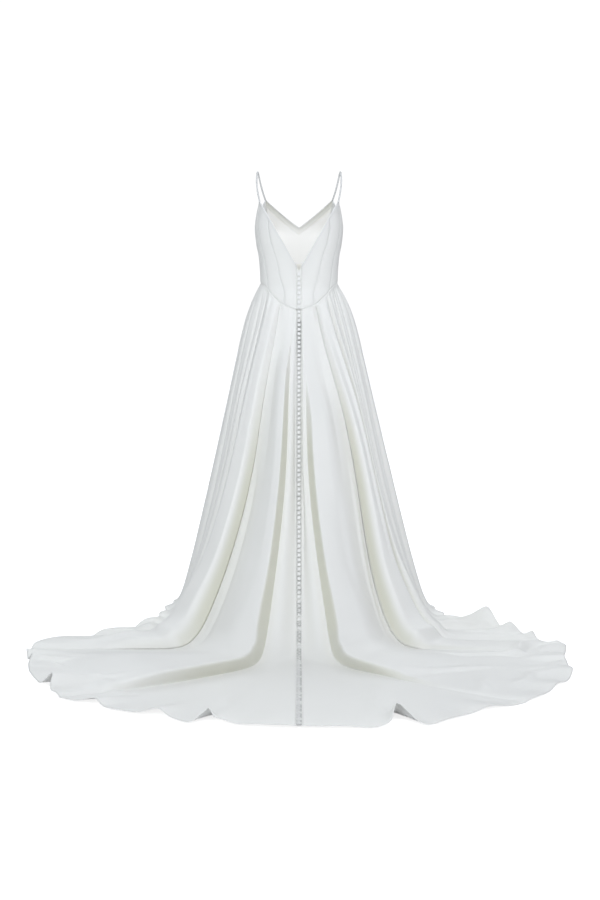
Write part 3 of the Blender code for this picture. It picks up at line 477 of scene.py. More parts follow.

# Cloths: colours of the light, the deeper and the shaded tone, roughness, depth of the weave, sheen,
# threads per metre, a painted glow that the cloth gives of itself, and whether its edges are stitched
CLOTH_COLUMNS = (
    "light", "deeper", "shaded", "roughness", "weave", "sheen", "threads", "glow", "stitched",
)
CLOTHS = {
    # The skirt's shaded tone is painted shade on the steep fold walls
    "satin of the skirt": (
        "satin", "satin_shade", "fold_wall_painted_shade", 0.44, 0.00012, 0.2, 2200.0, 0.0, True),
    "satin of the bodice": (
        "satin", "satin_shade", "seam_shade", 0.42, 0.00012, 0.2, 2200.0, 0.0, True),
    # The placket's and buttons' shaded tone is painted shade of the closure's opening
    "satin of the placket": (
        "satin", "satin_shade", "opening_painted_shade", 0.46, 0.00010, 0.2, 2200.0, 0.0, False),
    # Buttons and piping take the piping colour, a painted highlight lighter than the satin
    "satin of the buttons": ("piping", "satin", "opening_painted_shade", 0.36, 0.00010, 0.2, 2200.0, 0.0, False),
    "satin of the piping": ("piping", "satin", None, 0.40, 0.00010, 0.2, 2200.0, 0.0, False),
    "satin of the straps": ("straps", "strap_shade", None, 0.55, 0.00004, 0.2, 900.0, 0.0, False),
    "loop cord": ("loops", "satin_shade", None, 0.50, 0.00008, 0.2, 2200.0, 0.0, False),
    # Lining and facing glow a little of themselves: painted light inside the front
    "lining cloth": ("lining", "facing", "inner_shade", 0.58, 0.00010, 0.1, 1600.0, 0.24, True),
    "facing cloth": ("lining", "facing", "inner_shade", 0.50, 0.00010, 0.1, 1600.0, 0.16, True),
}
UNEVEN_TONE = 0.6
STITCH_TONE = 0.86
STITCH_SHOWS = 0.35
STITCH_HEIGHT = 4.0
ROUGHNESS_SPREAD = 0.10
BUMP_STRENGTH = 0.35

# Lamps of the studio: name, place, power, width and tint, all aimed at the skirt
LAMPS = [
    ("back key left", (0.9, 4.6, 3.0), 86.0, 2.4, (0.89, 0.935, 1.0)),
    ("back key right", (-0.9, 4.6, 3.0), 86.0, 2.4, (0.90, 0.925, 1.0)),
    ("low side left", (3.4, 2.6, 0.6), 9.0, 1.8, (0.92, 1.0, 0.97)),
    ("low side right", (-3.4, 2.4, 0.6), 9.0, 1.8, (0.96, 0.95, 1.0)),
    ("front fill left", (1.7, -4.4, 2.6), 55.0, 3.0, (0.94, 0.98, 1.0)),
    ("front fill right", (-1.7, -4.4, 2.6), 55.0, 3.0, (0.94, 0.98, 1.0)),
]
LAMPS_AIM = (0.0, 0.2, -0.75)
FILL_TINT = (0.90, 0.93, 1.0, 1.0)
BACKDROP_GLOW = 1.05
WHITE = (1.0, 1.0, 1.0, 1.0)
FLOOR_SIZE = 60.0
FLOOR_GAP = 0.0002

# Camera in metres, and the picture in pixels: focal length, height, middle row and row of the horizon
CAMERA_BACK = 5.0
CAMERA_HEIGHT = 1.0
SENSOR_HEIGHT = 36.0
PICTURE = {"focal": 1538.0, "height": 900.0, "middle": 450.0, "horizon": 304.0, "aside": 1.0}


def column(table, names, name):
    """One named column of a table as an array."""
    place = names.index(name)
    return np.array([row[place] for row in table], dtype=float)


def smooth(xs, ys, x):
    """Smooth curve through the points (xs, ys) that never overshoots them."""
    slope = np.diff(ys) / np.diff(xs)
    tangent = np.zeros(len(ys))
    before, after = slope[:-1], slope[1:]
    turns = before * after <= 0.0
    total = np.where(turns, 1.0, before + after)
    tangent[1:-1] = np.where(turns, 0.0, 2.0 * before * after / total)
    tangent[0], tangent[-1] = slope[0], slope[-1]
    x = np.clip(x, xs[0], xs[-1])
    i = np.clip(np.searchsorted(xs, x) - 1, 0, len(xs) - 2)
    span = xs[i + 1] - xs[i]
    t = (x - xs[i]) / span
    a = (1.0 + 2.0 * t) * (1.0 - t) ** 2 * ys[i] + t * (1.0 - t) ** 2 * span * tangent[i]
    b = t * t * (3.0 - 2.0 * t) * ys[i + 1] + t * t * (t - 1.0) * span * tangent[i + 1]
    return a + b


def curve(table, names, name, x):
    """Smooth curve through one named column of a table, against the table's first column."""
    return smooth(column(table, names, names[0]), column(table, names, name), x)


def round_trip(values, place, wrap=0.0):
    """Smooth closed curve through one value per fold line; wrap is added at each full turn."""
    count = len(values)
    whole = np.floor(place).astype(int)
    t = place - whole
    p = [values[(whole + k) % count] + wrap * ((whole + k) // count) for k in (-1, 0, 1, 2)]
    line = 2.0 * p[1] + (p[2] - p[0]) * t
    bend = (2.0 * p[0] - 5.0 * p[1] + 4.0 * p[2] - p[3]) * t**2
    twist = (3.0 * p[1] - p[0] - 3.0 * p[2] + p[3]) * t**3
    return 0.5 * (line + bend + twist)


def unit(vectors):
    """Vectors brought to length one."""
    return vectors / np.maximum(np.linalg.norm(vectors, axis=-1, keepdims=True), 1e-12)


def ramp(value, low, high):
    """Soft step from 0 at low to 1 at high."""
    t = np.clip((value - low) / (high - low), 0.0, 1.0)
    return t * t * (3.0 - 2.0 * t)


def run_along(points, axis):
    """Metres that each point of a line or grid has come along one of its axes."""
    steps = np.linalg.norm(np.diff(points, axis=axis), axis=-1)
    start = np.zeros_like(np.take(steps, [0], axis=axis))
    return np.concatenate([start, np.cumsum(steps, axis=axis)], axis=axis)


def points_along(line, runs, marks):
    """Points of a line at marks of its run."""
    return np.stack([np.interp(marks, runs, line[:, k]) for k in range(3)], axis=1)


def signed_power(value, power):
    """Power that keeps the sign of its base."""
    return np.sign(value) * np.abs(value) ** power


def body_form(angle, height):
    """Point of the bodice's outer form; angle in degrees from the centre back to the left."""
    half, back, front = (curve(BODY, BODY_COLUMNS, name, height) for name in BODY_COLUMNS[1:])
    turn = np.radians(angle)
    depth = np.where(np.cos(turn) > 0.0, back, front)
    from_front = np.abs((angle % 360.0) - 180.0)
    across = (from_front - (180.0 - BUST["angle"])) / BUST["wide"]
    along = (height - BUST["height"]) / BUST["tall"]
    cup = BUST["out"] * np.exp(-(across**2) - along**2)
    x = half * signed_power(np.sin(turn), BODY_SQUARENESS) + cup * np.sin(turn)
    y = depth * signed_power(np.cos(turn), BODY_SQUARENESS) + cup * np.cos(turn)
    return np.stack([x, y, height + 0.0 * x], axis=-1)


def body_point(angle, height, out=0.0):
    """Point of the bodice's form, moved out along its normal."""
    angle = np.asarray(angle, dtype=float)
    height = np.asarray(height, dtype=float)
    around = body_form(angle + 0.5, height) - body_form(angle - 0.5, height)
    up = body_form(angle, height + 0.002) - body_form(angle, height - 0.002)
    out = np.asarray(out, dtype=float)[..., None]
    return body_form(angle, height) + out * unit(np.cross(up, around))


def waist_height(angle):
    """Height of the waist seam at an angle of either side."""
    turned = np.asarray(angle, dtype=float) % 360.0
    folded = np.where(turned > 180.0, 360.0 - turned, turned)
    return curve(WAIST, WAIST_COLUMNS, "height", folded)


def upper_edge(angle, height):
    """Height of the neck or armhole edge on the left half, with x taken at the given height."""
    x = body_form(angle, height)[:, 0]
    back = BACK_V["low"] + (BACK_V["peak"] - BACK_V["low"]) * x / BACK_V["peak_x"]
    share = (np.maximum(x, 0.0) / FRONT_V["peak_x"]) ** FRONT_V["curve"]
    front = FRONT_V["low"] + (FRONT_V["peak"] - FRONT_V["low"]) * share
    arm = curve(ARMHOLE, ARMHOLE_COLUMNS, "height", angle)
    return np.where(angle < BACK_PEAK_ANGLE, back, np.where(angle > FRONT_PEAK_ANGLE, front, arm))


def seam_angle(name, height):
    """Angle of a bodice seam on the left side at each height."""
    if name == "middle_back":
        return 0.0 * height
    if name == "middle_front":
        return 180.0 + 0.0 * height
    if name == "placket":
        half = curve(BODY, BODY_COLUMNS, "half_width", height)
        return np.degrees(np.arcsin((PLACKET_HALF / half) ** (1.0 / BODY_SQUARENESS)))
    return curve(SEAMS, SEAM_COLUMNS, name, height)


def panel_frame(first, last, columns, rows, band=None):
    """Angles and heights of a left bodice panel's grid between two seams.

    band takes only a strip between two distances below the upper edge.
    """
    half_gap = math.degrees(0.5 * SEAM_GAP / PANEL_TURN_RADIUS)
    low_gap = 0.0 if first.startswith("middle") else half_gap
    high_gap = 0.0 if last.startswith("middle") else half_gap
    share = np.linspace(0.0, 1.0, columns + 1)

    def angle_at(height):
        low = seam_angle(first, height) + low_gap
        high = seam_angle(last, height) - high_gap
        return low + (high - low) * share

    def settle(function, low, high):
        low, high = np.full(len(share), low), np.full(len(share), high)
        for _ in range(HALVINGS):
            middle = 0.5 * (low + high)
            above = function(middle) > 0.0
            low, high = np.where(above, middle, low), np.where(above, high, middle)
        return 0.5 * (low + high)

    top = settle(lambda h: upper_edge(angle_at(h), h) - h, *EDGE_BETWEEN)
    low = settle(lambda h: waist_height(angle_at(h)) - h, *WAIST_BETWEEN) + WAIST_LIFT
    if band:
        low, top = (top - band[1] if band[1] else low), top - band[0]
    heights = low[:, None] + (top - low)[:, None] * np.linspace(0.0, 1.0, rows + 1)
    angles = np.stack([angle_at(heights[:, j]) for j in range(rows + 1)], axis=1)
    return angles, heights


def edge_distance(grid):
    """Distance of each grid point from the nearest side edge of its panel, in metres."""
    across = run_along(grid, 0)
    return np.minimum(across, across[-1] - across)


def panel_grid(first, last, out, crown=0.0, groove=0.0, band=None, rows=PANEL_ROWS):
    """Points of a left bodice panel, crowned between its seams and drawn in beside them."""
    angles, heights = panel_frame(first, last, PANEL_COLUMNS, rows, band)
    flat = body_point(angles, heights, out)
    away = edge_distance(flat)
    if first.startswith("middle") or last.startswith("middle"):
        other = 0 if last.startswith("middle") else -1
        away = np.linalg.norm(flat - flat[other][None], axis=2)
    relief = crown * (1.0 - np.exp(-away / CROWN_EASE)) - groove * np.exp(-((away / SEAM_DRAW) ** 2))
    settled = ramp(heights - heights[:, :1], 0.0, WAIST_SETTLE) if groove else np.ones(heights.shape)
    return body_point(angles, heights, out + relief * settled - WAIST_DIP * (1.0 - settled))


def mirrored(grid):
    """The same grid on the wearer's right, with its columns still in turning order."""
    return grid[::-1] * np.array([-1.0, 1.0, 1.0])


def both_halves(half):
    """A left half that ends at the middle, and its mirror image, as one grid."""
    other = mirrored(half)
    if abs(half[-1, 0, 0]) < abs(half[0, 0, 0]):
        return np.concatenate([half, other[1:]])
    return np.concatenate([other, half[1:]])


def fold_values(name):
    """One column of the fold table."""
    return column(FOLDS, FOLD_COLUMNS, name)


def spaced(path, stage, share):
    """Points and stages of each path at shares of its length."""
    points = np.empty((len(path), len(share), 3))
    stages = np.empty((len(path), len(share)))
    for i, (line, runs) in enumerate(zip(path, run_along(path, 1))):
        marks = share * runs[-1]
        stages[i] = np.interp(marks, runs, stage[i])
        points[i] = points_along(line, runs, marks)
    return points, stages


def skirt_base(place, share, wall):
    """Skirt without its folds, and how far each point has come on its way to the hem."""
    waist = round_trip(fold_values("waist"), place, 360.0)
    start = body_point(waist, waist_height(waist) + WAIST_TUCK, -WAIST_TUCK)
    floor = np.stack([round_trip(fold_values(k), place) for k in ("floor_x", "floor_y")], axis=1)
    hem = np.stack([round_trip(fold_values(k), place) for k in ("hem_x", "hem_y")], axis=1)
    facing = np.degrees(np.arctan2(np.abs(floor[:, 0]), floor[:, 1]))
    weights = {"back": 1.0 - ramp(facing, *BACK_TO_SIDE), "front": ramp(facing, *SIDE_TO_FRONT)}
    weights["side"] = 1.0 - weights["back"] - weights["front"]
    drop = np.linspace(0.0, 1.0, HANG_SAMPLES)
    out = sum(weights[k][:, None] * curve(HANG, HANG_COLUMNS, k, drop) for k in weights)
    hang = start[:, None, :2] + (floor - start[:, :2])[:, None, :] * out[..., None]
    hang[..., 0] += round_trip(fold_values("sway"), place)[:, None] * np.sin(math.pi * drop) ** 2
    height = start[:, 2:3] * (1.0 - drop) + wall * drop
    hang = np.concatenate([hang, height[..., None]], axis=2)
    run = np.linspace(0.0, 1.0, FLOOR_SAMPLES)[1:]
    lying = floor[:, None, :] + (hem - floor)[:, None, :] * run[None, :, None]
    lying[..., 1] += 4.0 * round_trip(fold_values("bow"), place)[:, None] * run * (1.0 - run)
    lying = np.concatenate([lying, np.full(lying.shape[:2] + (1,), wall)], axis=2)
    path = np.concatenate([hang, lying], axis=1)
    stage = np.broadcast_to(np.concatenate([drop, 1.0 + run]), path.shape[:2])
    path, stage = spaced(path, stage, np.linspace(0.0, 1.0, PATH_SAMPLES))
    for _ in range(BEND_SOFTENING):
        path[:, 1:-1] = 0.25 * path[:, :-2] + 0.5 * path[:, 1:-1] + 0.25 * path[:, 2:]
    return spaced(path, stage, share)


def side_share(inside, width, lying, wide_lying, soft):
    """Share of its height that a fold has reached at a share of the way in from one side, and how
    far across that side the place lies."""
    wide = width[:, None] + (wide_lying - width[:, None]) * lying
    way = np.clip(inside[:, None] / wide, 0.0, 1.0)
    share = np.where(soft, ramp(way, 0.0, 1.0), 1.0 - (1.0 - way) ** FOLD_ROUNDNESS)
    return share, way


def wall_painted_shade(fold, across, stages):
    """How deep the painted shade is on a fold's steep wall, at shares of the way across it."""
    rows = {row[0]: row[1:] for row in WALL_PAINTED_SHADES}
    no_shade = (0.0, 1.0, 0.0, 0.0, 0.0, 1.0)
    table = np.array([rows.get(row[0], no_shade) for row in FOLDS])[fold]
    whole, faded, hung, lying, begins, full = table.T[..., None]
    lies = ramp(stages, *WALL_TONE_LIES)
    depth = hung * (1.0 - lies) * ramp(stages, begins, full)
    depth = depth + lying * lies * (1.0 - ramp(stages, *WALL_TONE_ENDS))
    return depth * (1.0 - ramp(across, whole, faded))


def train_values(name, fold, fallback=0.0):
    """One column of the train's table for each fold, with a fallback where it has no row."""
    rows = {row[0]: row[TRAIN_COLUMNS.index(name)] for row in TRAIN_FOLDS}
    return np.array([rows.get(row[0], fallback) for row in FOLDS])[fold][:, None]


def fold_depth(fold, stages):
    """How far the fold after each crease stands out, at its stage on the way to the hem."""
    puff, hem, start = (fold_values(k)[fold][:, None] for k in ("puff", "hem_puff", "start"))
    rolled = train_values("puff", fold)
    hung = puff * curve(FULLNESS, FULLNESS_COLUMNS, "share", stages)
    hung = hung * np.where(start > 0.0, ramp(stages, start, start + FOLD_START_LENGTH), 1.0)
    plain = hung + (hem - hung) * ramp(stages, 1.0, 1.0 + FLOOR_SETTLE)
    end = train_values("end", fold, HEM_STAGE)
    roll = hung + (rolled - hung) * ramp(stages, *ROLL_RISES)
    roll = roll + (hem - roll) * ramp(stages, end - ROLL_EASES, end)
    return np.where(rolled > 0.0, roll, plain)


def main_folds(place, share, points, stages, around, outward, wall):
    """The points with the main folds standing out of them."""
    count = len(FOLDS)
    lines = skirt_base(np.arange(count + 1.0), share, wall)[0]
    widths = np.linalg.norm(np.diff(lines, axis=0), axis=2)
    whole = np.floor(place + 1e-9).astype(int)
    inside = np.clip(place - whole, 0.0, 1.0)
    fold = whole % count
    lying = ramp(stages, 1.0, 1.0 + FLOOR_SETTLE)
    lean = train_values("lean", fold)
    steep = train_values("wall", fold) / np.maximum(widths[fold], 1e-6)
    steep = np.minimum(steep, LYING_SIDE)
    soon = ramp(stages, *ROLL_STEEPENS)
    sides = []
    push = fold_values("push")[fold]
    walls = np.zeros(stages.shape)
    for way, name, turned, pushed in (
        (inside, "rise", lean, push > 0.0), (1.0 - inside, "fall", -lean, push < 0.0)
    ):
        rolls = turned > 0.0
        settles, wide = np.where(rolls, soon, lying), np.where(rolls, steep, LYING_SIDE)
        share_here, across = side_share(way, fold_values(name)[fold], settles, wide, turned < 0.0)
        sides.append(share_here)
        # Painted shade on the steep wall of each pushed fold
        walls += wall_painted_shade(fold, across, stages) * pushed[:, None]
    full = np.minimum(fold_depth(fold, stages), FOLD_TO_WIDTH * widths[fold])
    depth = full * sides[0] * sides[1]
    train = np.hypot(*(fold_values(f"hem_{k}")[fold] - fold_values(f"floor_{k}")[fold] for k in "xy"))
    upright = np.clip(1.0 - train / SHORT_TRAIN, 0.0, 1.0)
    level = outward.copy()
    level[..., 2] *= (1.0 - upright)[:, None]
    push = np.radians(push)
    aim = np.stack([np.sin(push), np.cos(push), 0.0 * push], axis=1)[:, None, :]
    hangs = (push != 0.0)[:, None] * (1.0 - ramp(stages, *PUSH_FADES))
    level = level + (aim - level) * hangs[..., None]
    start, end = (train_values(k, fold, HEM_STAGE) for k in ("start", "end"))
    leans = lean * ramp(stages, start, start + LEAN_COMES) * (1.0 - ramp(stages, end - LEAN_GOES, end))
    return points + unit(level) * depth[..., None] - around * (leans * depth)[..., None], walls


def surface_directions(points, place):
    """Direction around the skirt, direction down it, outward, and the metres to one fold, at each
    point of its grid, which closes on itself at the centre back."""
    closed = np.concatenate([points[-2:-1], points, points[1:2]])
    places = np.concatenate([[place[-2] - place[-1]], place, [place[-1] + place[1]]])
    step = np.gradient(closed, places, axis=0)[1:-1]
    around, down = unit(step), unit(np.gradient(points, axis=1))
    return around, down, unit(np.cross(around, down)), np.linalg.norm(step, axis=2)


def folds_away(place, line):
    """How many folds each column lies from a line down the skirt, the short way round."""
    half = 0.5 * len(FOLDS)
    return (place[:, None] - line + half) % len(FOLDS) - half


def bell(off, width):
    """Bell curve that is 1 in the middle and fades over a width."""
    return np.exp(-((off / width) ** 2))


def crease_relief(place, stages, metres):
    """Depth of the smaller creases, waist gathers and slow waves over the skirt."""
    relief = np.zeros(stages.shape)
    for first, last, start, end, width, depth in CREASES:
        way = np.clip((stages - start) / (end - start), 0.0, 1.0)
        off = folds_away(place, first + (last - first) * way)
        fades = np.sin(math.pi * way) ** CREASE_FADE * (stages > start) * (stages < end)
        relief += depth * fades * bell(off * metres, width)
    rng, count = np.random.default_rng(STREWN_SEED), len(FOLDS)
    for _ in range(SLOW_WAVES["count"]):
        middle = rng.uniform(0.0, count)
        drift, start, length, width, depth = (
            rng.uniform(*SLOW_WAVES[k]) for k in ("drift", "start", "length", "width", "depth"))
        way = np.clip((stages - start) / length, 0.0, 1.0)
        off = folds_away(place, middle + drift * way)
        relief += depth * np.sin(math.pi * way) * bell(off * metres, width)
    for _ in range(GATHERS["count"]):
        middle = rng.uniform(0.0, count)
        width, depth, end = (rng.uniform(*GATHERS[k]) for k in ("width", "depth", "end"))
        if min(middle, count - middle) < GATHERS["clear_of_back"]:
            continue
        fades = ramp(stages, end, 0.0) * ramp(stages, 0.0, GATHERS["begins"])
        off = folds_away(place, middle)
        relief += depth * fades * bell(off * metres, width + GATHERS["widens"] * stages)
    return relief


def crumple_lift(points, stages):
    """Height of the train's crumples at each point that lies on the floor."""
    lift = np.zeros(stages.shape)
    for x, y, turn, length, width, height in CRUMPLES:
        way = np.array([math.cos(math.radians(turn)), math.sin(math.radians(turn))])
        off = points[..., :2] - np.array([x, y])
        along = off @ way
        sway = CRUMPLE_SWAY * length * np.sin(CRUMPLE_TURNS * along / length)
        aside = off @ np.array([-way[1], way[0]]) - sway
        lift += height * bell(aside, width) * bell(along, length)
    return lift * ramp(stages, *CRUMPLES_LIE)


def hem_relief(place, stages, metres):
    """Lift and inward shift of the hem where it lies in waves on the floor."""
    lift, inward = np.zeros(stages.shape), np.zeros(stages.shape)
    narrow = HEM_EASE["narrow"]
    for middle, width, height, shift, reach in HEM_WAVES:
        near = ramp(stages, HEM_STAGE - HEM_EASE["reach"] * reach, HEM_STAGE)
        wave = bell(folds_away(place, middle) * metres, width * (narrow + (1.0 - narrow) * near))
        lift += height * wave * near ** HEM_EASE["lift"]
        inward += shift * wave * near ** HEM_EASE["inward"]
    return lift, inward


def skirt_places():
    """Positions of all mesh columns round the skirt, closer together beside each crease."""
    places = []
    for fold in range(len(FOLDS)):
        steps = FOLDS[fold][FOLD_COLUMNS.index("steps")]
        t = np.arange(steps) / steps
        places += list(fold + 0.5 * t + 0.25 * (1.0 - np.cos(math.pi * t)))
    return np.array(places + [float(len(FOLDS))])


def row_shares():
    """Shares of the way from waist to hem at which the mesh rows lie."""
    fine = np.linspace(0.0, 1.0, ROW_SAMPLES)
    crowd = 1.0
    for middle, width, more in ROW_CROWDS:
        crowd = crowd + more * bell(fine - middle, width)
    total = np.concatenate([[0.0], np.cumsum(0.5 * (crowd[1:] + crowd[:-1]))])
    return np.interp(np.linspace(0.0, total[-1], SKIRT_ROWS + 1), total, fine)


def skirt_surface(place, share, wall):
    """The whole skirt's outer face at the positions and shares, with all its folds."""
    points, stages = skirt_base(place, share, wall)
    around, down, outward, metres = surface_directions(points, place)
    points, walls = main_folds(place, share, points, stages, around, outward, wall)
    around, down, outward, metres = surface_directions(points, place)
    relief = crease_relief(place, stages, metres) * ramp(stages, 0.0, CREASES_START)
    points = points + outward * relief[..., None]
    lift, inward = hem_relief(place, stages, metres)
    middle = bell(folds_away(place, 0.0) * metres, MIDDLE_RAISED["width"])
    lift += MIDDLE_RAISED["height"] * middle * ramp(stages, *MIDDLE_RAISED["stages"])
    lift += crumple_lift(points, stages)
    level = down * np.array([1.0, 1.0, 0.0])
    points = points + np.array([0.0, 0.0, 1.0]) * lift[..., None] - unit(level) * inward[..., None]
    points[..., 2] = np.maximum(points[..., 2], wall)
    return points, around, walls


def in_frame(points):
    """Points with heights above the floor, brought into the frame."""
    return np.asarray(points) - np.array([0.0, 0.0, SHOULDER_HEIGHT])


def new_object(name, data, node, cloth):
    """One piece of the dress in a named cloth, riding on the body."""
    piece = bpy.data.objects.new(name, data)
    bpy.context.scene.collection.objects.link(piece)
    data.materials.append(cloth_material(cloth))
    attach(piece, "root")
    if node:
        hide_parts(node)
    return piece


def cloth_mesh(name, grid, downward):
    """Mesh of a grid of points, with the cloth's own metres as its UV map."""
    columns, rows = grid.shape[:2]
    i, j = np.meshgrid(np.arange(columns - 1), np.arange(rows - 1), indexing="ij")
    a, b = (i * rows + j).ravel(), ((i + 1) * rows + j).ravel()
    faces = np.stack([a, b, b + 1, a + 1], axis=1)
    if not downward:
        faces = faces[:, ::-1]
    mesh = bpy.data.meshes.new(name)
    mesh.vertices.add(columns * rows)
    mesh.vertices.foreach_set("co", in_frame(grid.reshape(-1, 3)).ravel())
    mesh.loops.add(faces.size)
    mesh.loops.foreach_set("vertex_index", faces.ravel().astype(np.int32))
    mesh.polygons.add(len(faces))
    mesh.polygons.foreach_set("loop_start", np.arange(0, faces.size, 4, dtype=np.int32))
    mesh.update(calc_edges=True)
    mesh.validate()
    across, along = run_along(grid, 0), run_along(grid, 1)
    flat = np.stack([across - 0.5 * across[-1], along], axis=2).reshape(-1, 2)
    index = np.empty(faces.size, dtype=np.int32)
    mesh.loops.foreach_get("vertex_index", index)
    mesh.uv_layers.new(name="cloth").data.foreach_set("uv", flat[index].ravel())
    edge = mesh.attributes.new("edge", "FLOAT", "POINT")
    sides = edge_distance(grid)
    ends = np.minimum(along, along[:, -1:] - along)
    edge.data.foreach_set("value", np.minimum(sides, ends).ravel().astype(np.float32))
    mesh.shade_smooth()
    return mesh


def add_cloth(name, grid, wall, node, slot, cloth, held, rests_on, downward=False):
    """A thin shell of cloth on a grid.

    A grid that runs upward is the cloth's inner face, and one that runs downward its outer face.
    """
    piece = new_object(name, cloth_mesh(name, grid, downward), node, cloth)
    shell = piece.modifiers.new("cloth wall", "SOLIDIFY")
    shell.thickness = wall
    shell.offset = -1.0 if downward else 1.0
    shell.use_rim = True
    upright = held == "stretched" and slot != "facing"
    across = np.diff(grid, axis=0) * (np.array([1.0, 1.0, 0.0]) if upright else 1.0)
    across = np.percentile(np.linalg.norm(across, axis=2).sum(axis=0), 100 if upright else CUT_SHARE)
    return piece


def set_shade(piece, values):
    """Keep on each point of a cloth how much it lies in the shade of a fold, seam or opening."""
    shade = piece.data.attributes.new("shade", "FLOAT", "POINT")
    shade.data.foreach_set("value", np.ascontiguousarray(values, dtype=np.float32).ravel())


def add_tube(name, points, radius, node, cloth):
    """Round cord of cloth along a line of points."""
    shape = bmesh.new()
    add_tube_to(shape, in_frame(points), radius, sides=12)
    new_object(name, mesh_of(shape, name), node, cloth)


def group_socket(tree, name, way, kind, default=None):
    """A socket on a shader node group's outside."""
    socket = tree.interface.new_socket(name=name, in_out=way, socket_type=kind)
    if default is not None:
        socket.default_value = default


def math_node(tree, operation, a, b=None, clamp=False):
    """A Math node whose inputs are sockets or numbers."""
    node = tree.nodes.new("ShaderNodeMath")
    node.operation = operation
    node.use_clamp = clamp
    for socket, value in zip(node.inputs, (a, b)):
        if value is None:
            continue
        if isinstance(value, bpy.types.NodeSocket):
            tree.links.new(value, socket)
        else:
            socket.default_value = value
    return node.outputs[0]


def weave_group():
    """Shader group: fine satin threads and slow unevenness of the cloth, as height and mask."""
    if "satin weave" in bpy.data.node_groups:
        return bpy.data.node_groups["satin weave"]
    tree = bpy.data.node_groups.new("satin weave", "ShaderNodeTree")
    group_socket(tree, "Threads per metre", "INPUT", "NodeSocketFloat", 2200.0)
    group_socket(tree, "Thread height", "INPUT", "NodeSocketFloat", 1.0)
    group_socket(tree, "Slub height", "INPUT", "NodeSocketFloat", 0.5)
    group_socket(tree, "Height", "OUTPUT", "NodeSocketFloat")
    group_socket(tree, "Mask", "OUTPUT", "NodeSocketFloat")
    inside, outside = tree.nodes.new("NodeGroupInput"), tree.nodes.new("NodeGroupOutput")
    uv = tree.nodes.new("ShaderNodeUVMap")
    uv.uv_map = "cloth"
    split = tree.nodes.new("ShaderNodeSeparateXYZ")
    tree.links.new(uv.outputs["UV"], split.inputs[0])
    turns = math_node(tree, "MULTIPLY", inside.outputs["Threads per metre"], 2.0 * math.pi)
    warp = math_node(tree, "SINE", math_node(tree, "MULTIPLY", split.outputs["X"], turns))
    weft_turns = math_node(tree, "MULTIPLY", turns, 0.25)
    step = math_node(tree, "MULTIPLY", split.outputs["X"], math_node(tree, "MULTIPLY", turns, 0.2))
    weft = math_node(tree, "SINE", math_node(
        tree, "ADD", math_node(tree, "MULTIPLY", split.outputs["Y"], weft_turns), step))
    threads = math_node(tree, "ADD", warp, math_node(tree, "MULTIPLY", weft, 0.5))
    threads = math_node(tree, "MULTIPLY", threads, inside.outputs["Thread height"])
    place = tree.nodes.new("ShaderNodeTexCoord")
    slub = tree.nodes.new("ShaderNodeTexNoise")
    slub.inputs["Scale"].default_value = 180.0
    slub.inputs["Detail"].default_value = 3.0
    stretch = tree.nodes.new("ShaderNodeMapping")
    stretch.inputs["Scale"].default_value = (1.0, 0.12, 1.0)
    tree.links.new(uv.outputs["UV"], stretch.inputs["Vector"])
    tree.links.new(stretch.outputs[0], slub.inputs["Vector"])
    slubs = math_node(tree, "MULTIPLY", slub.outputs["Fac"], inside.outputs["Slub height"])
    tree.links.new(math_node(tree, "ADD", threads, slubs), outside.inputs["Height"])
    uneven = tree.nodes.new("ShaderNodeTexNoise")
    uneven.inputs["Scale"].default_value = 9.0
    uneven.inputs["Detail"].default_value = 4.0
    tree.links.new(place.outputs["Object"], uneven.inputs["Vector"])
    tree.links.new(uneven.outputs["Fac"], outside.inputs["Mask"])
    return tree


def stitch_group():
    """Shader group: a row of stitches at a set distance from the cloth's edge, as mask and height."""
    if "edge stitches" in bpy.data.node_groups:
        return bpy.data.node_groups["edge stitches"]
    tree = bpy.data.node_groups.new("edge stitches", "ShaderNodeTree")
    group_socket(tree, "Distance", "INPUT", "NodeSocketFloat", 0.002)
    group_socket(tree, "Width", "INPUT", "NodeSocketFloat", 0.0004)
    group_socket(tree, "Stitch length", "INPUT", "NodeSocketFloat", 0.0025)
    group_socket(tree, "Mask", "OUTPUT", "NodeSocketFloat")
    group_socket(tree, "Height", "OUTPUT", "NodeSocketFloat")
    inside, outside = tree.nodes.new("NodeGroupInput"), tree.nodes.new("NodeGroupOutput")
    edge = tree.nodes.new("ShaderNodeAttribute")
    edge.attribute_name = "edge"
    off = math_node(tree, "ABSOLUTE", math_node(
        tree, "SUBTRACT", edge.outputs["Fac"], inside.outputs["Distance"]))
    band = math_node(tree, "SUBTRACT", 1.0, math_node(
        tree, "DIVIDE", off, inside.outputs["Width"]), clamp=True)
    uv = tree.nodes.new("ShaderNodeUVMap")
    uv.uv_map = "cloth"
    split = tree.nodes.new("ShaderNodeSeparateXYZ")
    tree.links.new(uv.outputs["UV"], split.inputs[0])
    both = math_node(tree, "ADD", split.outputs["X"], split.outputs["Y"])
    turns = math_node(tree, "DIVIDE", 2.0 * math.pi, inside.outputs["Stitch length"])
    wave = math_node(tree, "SINE", math_node(tree, "MULTIPLY", both, turns))
    dash = math_node(tree, "MULTIPLY", math_node(tree, "ADD", wave, 0.6), 2.0, clamp=True)
    tree.links.new(math_node(tree, "MULTIPLY", band, dash), outside.inputs["Mask"])
    tree.links.new(math_node(tree, "MULTIPLY", band, math_node(
        tree, "SUBTRACT", dash, 0.6)), outside.inputs["Height"])
    return tree


def mix_colour(tree, factor, first, second):
    """A Mix node between two colours, each a socket or three numbers."""
    node = tree.nodes.new("ShaderNodeMix")
    node.data_type = "RGBA"
    tree.links.new(factor, node.inputs["Factor"])
    for socket, colour in ((node.inputs["A"], first), (node.inputs["B"], second)):
        if isinstance(colour, bpy.types.NodeSocket):
            tree.links.new(colour, socket)
        else:
            socket.default_value = (*colour, 1.0)
    return node.outputs["Result"]


